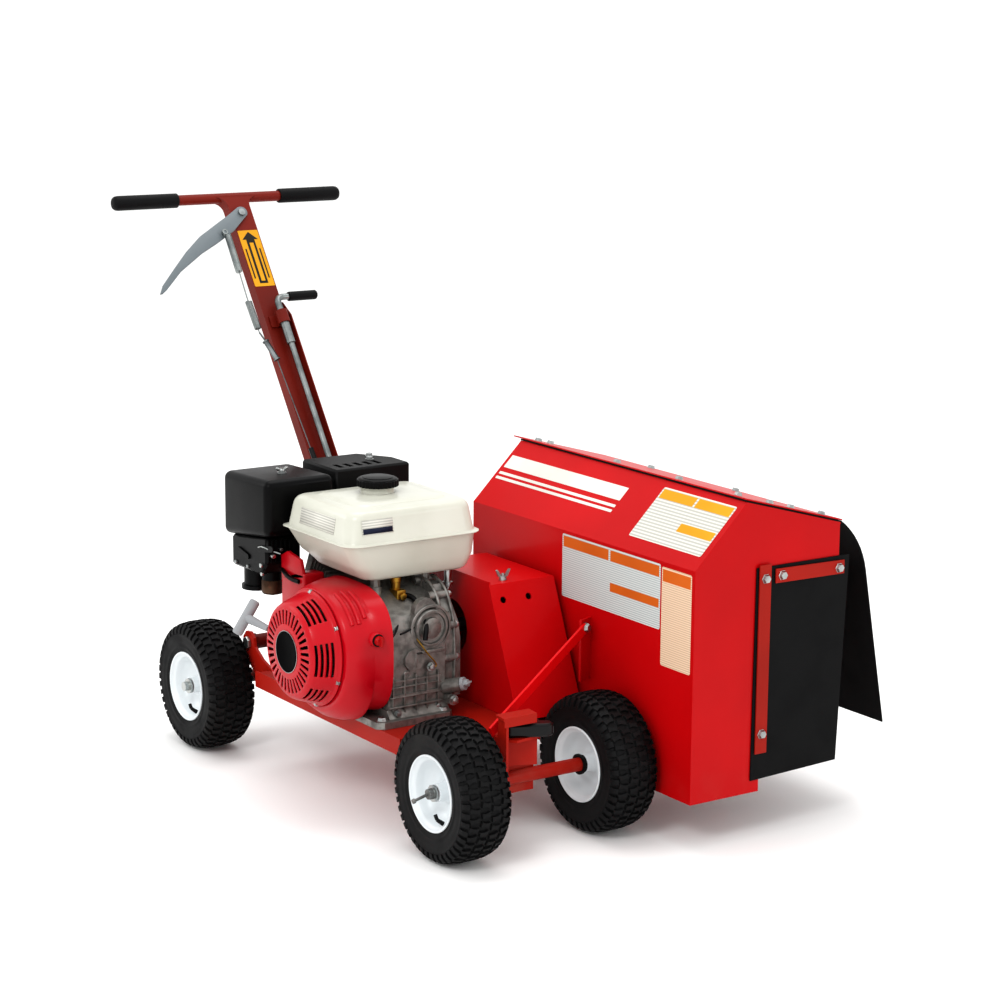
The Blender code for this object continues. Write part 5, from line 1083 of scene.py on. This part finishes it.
def makeCrankcase():
    b = block
    form = bmesh.new()
    addTurned(form, b["flangeRing"], 56, ahead, b["flange"])
    for x, radius in b["coverBeads"]:
        addTube(form, [(x, u, v) for u, v in b["coverEdge"]], radius)
    for u, v in b["coverBolts"]:
        addTurned(form, b["coverBoss"], 24, right, (0.144, u, v))
    for at, wide in b["plugs"]:
        addTurned(form, [(-0.014, wide), (0.007, wide), (0.008, wide - 0.001),
                         (0.008, wide - 0.004), (-0.002, wide - 0.0046), (-0.002, 0.0),
                         (-0.014, 0.0)], 28, ahead, at)
    addBlock(form, (0.062, 0.218, 0.308), (0.125, 0.23, 0.315), 0.0016)
    addBlock(form, (0.06, 0.217, 0.286), (0.065, 0.23, 0.312), 0.0014)
    for k in range(3):   # level ribs low on the front
        low = 0.215 + 0.018 * k
        addBlock(form, (0.008, 0.217 + 0.0012 * k, low), (0.118, 0.226, low + 0.0034),
                 0.0012)
    for k in range(5):   # upright ribs that cross them
        left = 0.014 + 0.024 * k
        addBlock(form, (left, 0.2185, 0.199), (left + 0.0036, 0.226, 0.275), 0.0012)
    for k in range(4):   # ribs up the shoulder of the block beside the tank's stud
        top, left = 0.404 - 0.002 * k, 0.119 + 0.0085 * k
        addPrism(form, "x", [(0.236, 0.375), (0.242, 0.372), (0.312, top - 0.018),
                             (0.308, top)], left, left + 0.0032, 0.001)
    for x in b["studs"]:
        addTurned(form, b["stud"], 28, up, (x, 0.307, 0.393))
    machinePiece("blockDetails", form, "castAluminium", angle=40)
    form = bmesh.new()
    for u, v in b["coverBolts"]:
        addBolt(form, (0.157, u, v), right, 0.01, 0.005)
    for row in b["bolts"]:
        addBolt(form, *row)
    for x in b["studs"]:
        addRod(form, (x, 0.307, 0.422), (x, 0.307, 0.4372), 0.0085, 28, 0.95, 0.001)
        addBolt(form, (x, 0.307, 0.4205), down, 0.013, 0.006)
    addRod(form, (0.1815, 0.3, 0.4), (0.1815, 0.3, 0.4377), 0.006, 24, 1.0, 0.0008)
    machinePiece("blockBolts", form, "zinc")
    makeDetails(fuelDetails)
    print("engine made")


# hood and belt guard
hood = {
    # x, z of the slope's foot, its top and the roof's far edge
    "fold": (0.3727, 0.508), "top": (0.484, 0.618), "far": (0.7008, 0.558),
    "boltHigh": 0.0091,       # middle of a bolt above the roof's line
    "roofBolts": ((0.03, 0.49), (0.06, 0.49), (0.03, 0.23), (0.03, 0.04),
                  (0.03, -0.13), (0.06, -0.182), (0.11, -0.182), (0.185, -0.182),
                  (0.185, 0.06), (0.185, 0.32)),
    # piece: finish, side it lies on, height of its face, corner radius, and for each
    # panel y from, y to, then reach up the slope or height on the side from, to
    "panels": {
        "hoodPanelSlope": ("panelWhite", "slope", 0.0004, 0.004, [
            (-0.18, 0.028, 0.029, 0.142)]),
        "hoodPanelWide": ("panelGrey", "side", 0.0004, 0.004, [
            (-0.096, 0.203, 0.383, 0.502)]),
        "hoodPanelTall": ("panelCream", "side", 0.0004, 0.004, [
            (-0.185, -0.1, 0.32, 0.499)]),
        "hoodStripes": ("stripeWhite", "slope", 0.0004, 0.0012, [
            (0.115, 0.495, 0.09, 0.12), (0.115, 0.495, 0.062, 0.068),
            (0.115, 0.495, 0.0735, 0.0795)]),
        "hoodPanelsYellow": ("panelYellow", "slope", 0.0007, 0.001, [
            (-0.073, 0.024, 0.118, 0.138), (-0.176, -0.079, 0.118, 0.138),
            (-0.176, -0.079, 0.063, 0.081)]),
        "hoodPanelsOrange": ("panelOrange", "side", 0.0007, 0.001, [
            (0.059, 0.199, 0.478, 0.498), (-0.092, 0.053, 0.478, 0.498),
            (-0.092, 0.053, 0.422, 0.438), (-0.182, -0.103, 0.473, 0.495)]),
    },
}


def roofSpot(reach, y):
    # middle of a roof bolt, reach along the roof from its top edge
    top = Vector((hood["top"][0], 0, hood["top"][1]))
    along = (Vector((hood["far"][0], 0, hood["far"][1])) - top).normalized()
    high = hood["boltHigh"]
    return (top.x + along.x * reach - along.z * high, y,
            top.z + along.z * reach + along.x * high)


def slopeMatrix():
    # x down the machine, y up the slope, z out of it, from the fold
    low = Vector((hood["fold"][0], 0, hood["fold"][1]))
    up = (Vector((hood["top"][0], 0, hood["top"][1])) - low).normalized()
    turn = Matrix((Vector((0, -1, 0)), up, Vector((0, -1, 0)).cross(up))).transposed()
    return Matrix.Translation(low) @ turn.to_4x4()


def sideMatrix():
    # x down the machine, y up, z out of the upright side
    turn = Matrix((Vector((0, -1, 0)), Vector((0, 0, 1)), Vector((-1, 0, 0)))).transposed()
    return Matrix.Translation((hood["fold"][0], 0, 0)) @ turn.to_4x4()


def addPanel(form, matrix, panel, height, corner):
    # thin plate with rounded corners
    lowY, highY, low, high = panel
    left, right = -highY, -lowY
    outline = []
    for x, y, start in ((right, high, 0), (left, high, 90), (left, low, 180),
                        (right, low, 270)):
        centre = (x - corner if x == right else x + corner,
                  y - corner if y == high else y + corner)
        outline += arc(centre, corner, start, start + 90, 4)
    addPrism(form, "z", outline, height - 0.0003, height, matrix=matrix)


def makeHoodPanels():
    places = {"slope": slopeMatrix(), "side": sideMatrix()}
    for name, (finish, place, height, corner, plates) in hood["panels"].items():
        form = bmesh.new()
        for plate in plates:
            addPanel(form, places[place], plate, height, corner)
        machinePiece(name, form, finish)
    print("hood panels made")


# solids that are shown as a copy with rounded edges
easedNodes = {
    # finish, width of the rounding, its segments, angle of a sharp edge if not 40
    "carburettor": ("engineBlack", 0.0015, 2),
    "crankcase": ("castAluminium", 0.0012, 2),
    "cylinder_head": ("castAluminium", 0.0007, 1),
    "muffler_guard": ("satinBlack", 0.002, 3),
    "hood_shell": ("hoodRed", 0.001, 2, 25),
    "roof_plate": ("hoodRed", 0.0004, 1),
    "end_flap": ("flapRubber", 0.0006, 1),
    "side_flap": ("flapRubber", 0.0006, 1),
    "flap_edge": ("flapRubber", 0.0006, 1),
    "flap_strip_side": ("frameOrange", 0.0004, 1),
    "flap_strip_top": ("frameOrange", 0.0004, 1),
    "belt_guard": ("hoodRed", 0.0016, 3),
    "wing_nut": ("zinc", 0.0006, 2),
    "handle_column": ("columnBrown", 0.0022, 3, 50),
    "main_frame": ("frameOrange", 0.001, 2),
    # rear axle and arms: frame paint darkened as painted shade
    "front_axle": ("frameOrange", 0.0007, 2),
    "rear_axle": ("frameDark", 0.0008, 2),
    "brace_bar": ("braceRed", 0.0006, 2),
    "lock_lever": ("gloss", 0.001, 2, 30),
    "depth_nut": ("zinc", 0.0005, 1),
    "arm_pivot_bolt": ("zinc", 0.0005, 1),
    "lever_bolt": ("zinc", 0.0005, 1),
    "turnbuckle": ("zincDark", 0.0006, 2),
    "pull_tube": ("zincDull", 0.0005, 1),
    "screw_sleeve": ("columnBrown", 0.0006, 2),
    "throttle_lever": ("engineBlack", 0.0006, 2),
    "choke_lever": ("engineBlack", 0.0006, 2),
    "stop_switch": ("knobRed", 0.0008, 2),
    "dipstick": ("gripGrey", 0.0008, 2),
    "crank_grip": ("gripRubber", 0.001, 2),
    "depth_screw": ("zincDull", 0.0004, 1, 60),
}
# bolts and studs welded to them, which are bare zinc: x, y, z, reach
boltSpots = {
    "crankcase": [(x, y, 0.1985, 0.0105) for x in (-0.01, 0.12) for y in (0.218, 0.434)],
    "roof_plate": [(*roofSpot(reach, y), 0.01) for reach, y in hood["roofBolts"]],
    "flap_strip_side": [(0.5262, -0.204, 0.477, 0.0105), (0.5258, -0.204, 0.193, 0.0105)],
    "flap_strip_top": [(0.564, -0.204, 0.479, 0.0105), (0.696, -0.204, 0.476, 0.0105)],
    "main_frame": [(*columnPoint(side * 0.033, -0.985), 0.01) for side in (-1, 1)],
    "front_axle": [(-0.044, 0, 0.127, 0.0175), (0.3555, 0, 0.127, 0.0175),
                   (0.1165, -0.036, 0.2435, 0.0125)],
    "rear_axle": [(-0.093, 0.83, 0.127, 0.019), (0.405, 0.83, 0.127, 0.019)],
    "brace_bar": [(0.35, 0.096, 0.348, 0.011)],
}


def easeNode(node, finish, width, segments, angle=40):
    form = bmesh.new()
    form.from_mesh(nodes[node].data)
    bmesh.ops.remove_doubles(form, verts=form.verts, dist=0.00002)
    bmesh.ops.dissolve_limit(form, angle_limit=math.radians(0.6), verts=form.verts,
                             edges=form.edges)
    easeEdges(form, sharpEdges(form.edges, angle), width, segments)
    bolts = boltSpots.get(node, ())
    for x, y, z, reach in bolts:
        for face in form.faces:
            if (face.calc_center_median() - spot(x, y, z)).length < reach:
                face.material_index = 1
    piece = finishPiece(node + "_eased", form, finish, node, angle=angle)
    piece.modifiers.new("evenShading", "WEIGHTED_NORMAL").keep_sharp = True
    if bolts:
        piece.data.materials.append(finishes["zinc"].material)


def easeNodes():
    for node, look in easedNodes.items():
        easeNode(node, *look)
    print("solids eased")


# handle and controls
grip = {
    "middle": (1.227, 1.046),   # y, z
    "mouth": [(0.0, 0.0114), (0.0, 0.0142), (0.0012, 0.0151)],
    # back from the end, radius
    "end": [(0.012, 0.0153), (0.006, 0.0144), (0.002, 0.0118), (0.0, 0.007), (0.0, 0.0)],
}


def makeGrips():
    for node, side in (("grip_left", -1), ("grip_right", 1)):
        low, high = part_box(node)
        start = (high[0] if side < 0 else low[0]) - machineShift.x
        length = high[0] - low[0]
        profile = grip["mouth"] + [(length - back, radius) for back, radius in grip["end"]]
        form = bmesh.new()
        addTurned(form, profile, 48, (side, 0, 0), (start, *grip["middle"]))
        machinePiece(node + "_moulded", form, "gripRubber", node, angle=40)


columnLabel = {
    # across and along the column from its top
    "plate": (-0.0235, 0.0235, -0.219, -0.086),
    "ink": [
        [(0.0, -0.09), (-0.018, -0.108), (-0.0095, -0.108), (-0.0095, -0.212),
         (0.0095, -0.212), (0.0095, -0.108), (0.018, -0.108)],
        [(-0.0185, -0.2), (-0.0155, -0.2), (-0.0155, -0.13), (-0.0185, -0.13)],
        [(0.014, -0.2), (0.017, -0.2), (0.017, -0.13), (0.014, -0.13)],
    ],
    "core": [[(-0.0045, -0.2065), (0.0045, -0.2065), (0.0045, -0.116), (-0.0045, -0.116)]],
    "film": 0.0003,
}


def makeColumnLabel():
    # plain arrow on a plate, each layer one film above the last
    film, turn = columnLabel["film"], columnMatrix()
    face = columnPlace["halfDeep"] + 0.0005
    makeDetails({
        "columnLabel": ("panelYellow", "column_paint", [
            (addPanel, turn, columnLabel["plate"], face, 0.002)]),
        "columnLabelInk": ("panelInk", "column_paint", [
            (addPrism, "z", outline, face, face + film, 0, 0, turn)
            for outline in columnLabel["ink"]]),
        "columnLabelCore": ("panelYellow", "column_paint", [
            (addPrism, "z", outline, face + film, face + 2 * film, 0, 0, turn)
            for outline in columnLabel["core"]]),
    })


lever = {
    # from the pivot: across and along the column, for the upper and the lower edge
    "pivot": (-0.005, -0.048, 0.0145),
    "upper": [(-0.004, 0.014), (-0.036, -0.006), (-0.069, -0.025), (-0.112, -0.05),
              (-0.153, -0.083), (-0.186, -0.115), (-0.218, -0.147), (-0.2285, -0.1655)],
    "lower": [(0.014, -0.004), (-0.007, -0.022), (-0.029, -0.041), (-0.078, -0.0685),
              (-0.118, -0.089), (-0.174, -0.124), (-0.212, -0.158), (-0.2225, -0.165)],
    "knob": (0.003, 0.003, 0.0125, 37.5, (10, 28, 46, 62)),
    "thick": 0.006,
    "bend": (-0.145, 0.25),
    "pin": (-0.062, -0.096, 0.0205, 0.0305, 0.0028),
}


def makeClutchLever():
    # bent flat bar: a row of four corners at each station
    s = lever
    across, along, out = s["pivot"]
    x, y, radius, middle, turns = s["knob"]
    pairs = []
    for turn in turns:
        ends = [math.radians(middle + side * turn) for side in (1, -1)]
        pairs.append([(x + radius * math.cos(a), y + radius * math.sin(a)) for a in ends])
    pairs += zip(s["upper"], s["lower"])
    start, slope = s["bend"]
    rows = []
    for (a, b), (c, d) in pairs:
        low, high = [out - max(0.0, start - u) * slope for u in (a, c)]
        rows.append([columnPoint(across + a, along + b, low),
                     columnPoint(across + a, along + b, low + s["thick"]),
                     columnPoint(across + c, along + d, high + s["thick"]),
                     columnPoint(across + c, along + d, high)])
    form = bmesh.new()
    addLoft(form, rows)
    easeEdges(form, sharpEdges(form.edges, 50), 0.0012, 3)
    a, b, low, high, radius = s["pin"]
    addRod(form, columnPoint(a, b, low), columnPoint(a, b, high), radius)
    machinePiece("clutchLeverBar", form, "leverGrey", "clutch_lever")


pullGrip = {
    "exit": (-0.122, 0.4267, 0.336), "reach": (-0.0165, 0.061, 0.0122),
    "tilt": (0.57, 0, 0.82), "half": 0.0355, "radius": 0.01, "stem": (0.0056, 0.009),
}


def makePullGrip():
    # moulded T: a stem that widens into a round-ended bar
    g = pullGrip
    root, reach = Vector(g["exit"]), Vector(g["reach"])
    along, tilt = reach.normalized(), Vector(g["tilt"]).normalized()
    middle = root + reach
    thin, thick = g["stem"]
    form = bmesh.new()
    addRod(form, root + along * 0.0042, middle, thin, 28, thick / thin)
    addRod(form, middle - tilt * g["half"], middle + tilt * g["half"], g["radius"], 36, 1.0,
           0.0038)
    machinePiece("pullGripMoulding", form, "gripGrey", "recoil_grip", angle=45)


spring = {
    "top": (-0.06, -0.2515), "end": (-0.0575, -0.3325), "out": 0.0285,
    "curls": 30, "perCurl": 10, "radius": 0.006, "wire": 0.00115,
}


def makeSpring():
    # close-wound tension spring with a straight tail at each end
    s = spring
    start, end = columnPoint(*s["top"], s["out"]), columnPoint(*s["end"], s["out"])
    run = end - start
    along = run.normalized()
    across = along.orthogonal().normalized()
    third = along.cross(across)
    count = s["curls"] * s["perCurl"]
    points = [start, start + along * 0.006]
    for k in range(count + 1):
        turn = 2 * math.pi * k / s["perCurl"]
        ring = across * math.cos(turn) + third * math.sin(turn)
        reach = 0.009 + (run.length - 0.018) * k / count
        points.append(start + along * reach + ring * s["radius"])
    points += [end - along * 0.006, end]
    form = bmesh.new()
    addTube(form, points, s["wire"], 2, 2)
    machinePiece("woundSpring", form, "zincDull", "clutch_spring", angle=60)


# pin, collar and washer on the front axle
hubDetails = {
    "frontLeftPin": ("wornSteel", "zinc", [
        (addRod, (-0.05, 0, 0.127), (-0.076, 0.0015, 0.1195), 0.0026, 16),
        (addRod, (-0.0745, 0.0014, 0.12), (-0.08, 0.0018, 0.1182), 0.0046, 20, 0.9,
         0.0008)]),
    "frontLeftCollar": ("wornSteel", "zinc", [
        (addTurned, [(-0.0506, 0.0), (-0.0506, 0.0078), (-0.05, 0.009),
                     (-0.0475, 0.0096), (-0.042, 0.0098)], 32, right, (0, 0, 0.127))]),
    "lockWasher": ("zinc", "zinc", [
        (addTurned, [(0.2387, 0.0062), (0.2387, 0.0138), (0.2407, 0.0138),
                     (0.2412, 0.013), (0.2412, 0.0062)], 36, up, (0.1165, -0.036, 0),
         True)]),
}


makeCamera()
makeLights()
makeFloor()
dressNodes()
easeNodes()
makeWheels()
makeRecoilCover()
makeShroud()
makeTank()
makeFuelCap()
makeIntake()
makeCrankcase()
makeHoodPanels()
makeGrips()
makeColumnLabel()
makeClutchLever()
makePullGrip()
makeSpring()
makeDetails(hubDetails)
print("handle and hubs made")
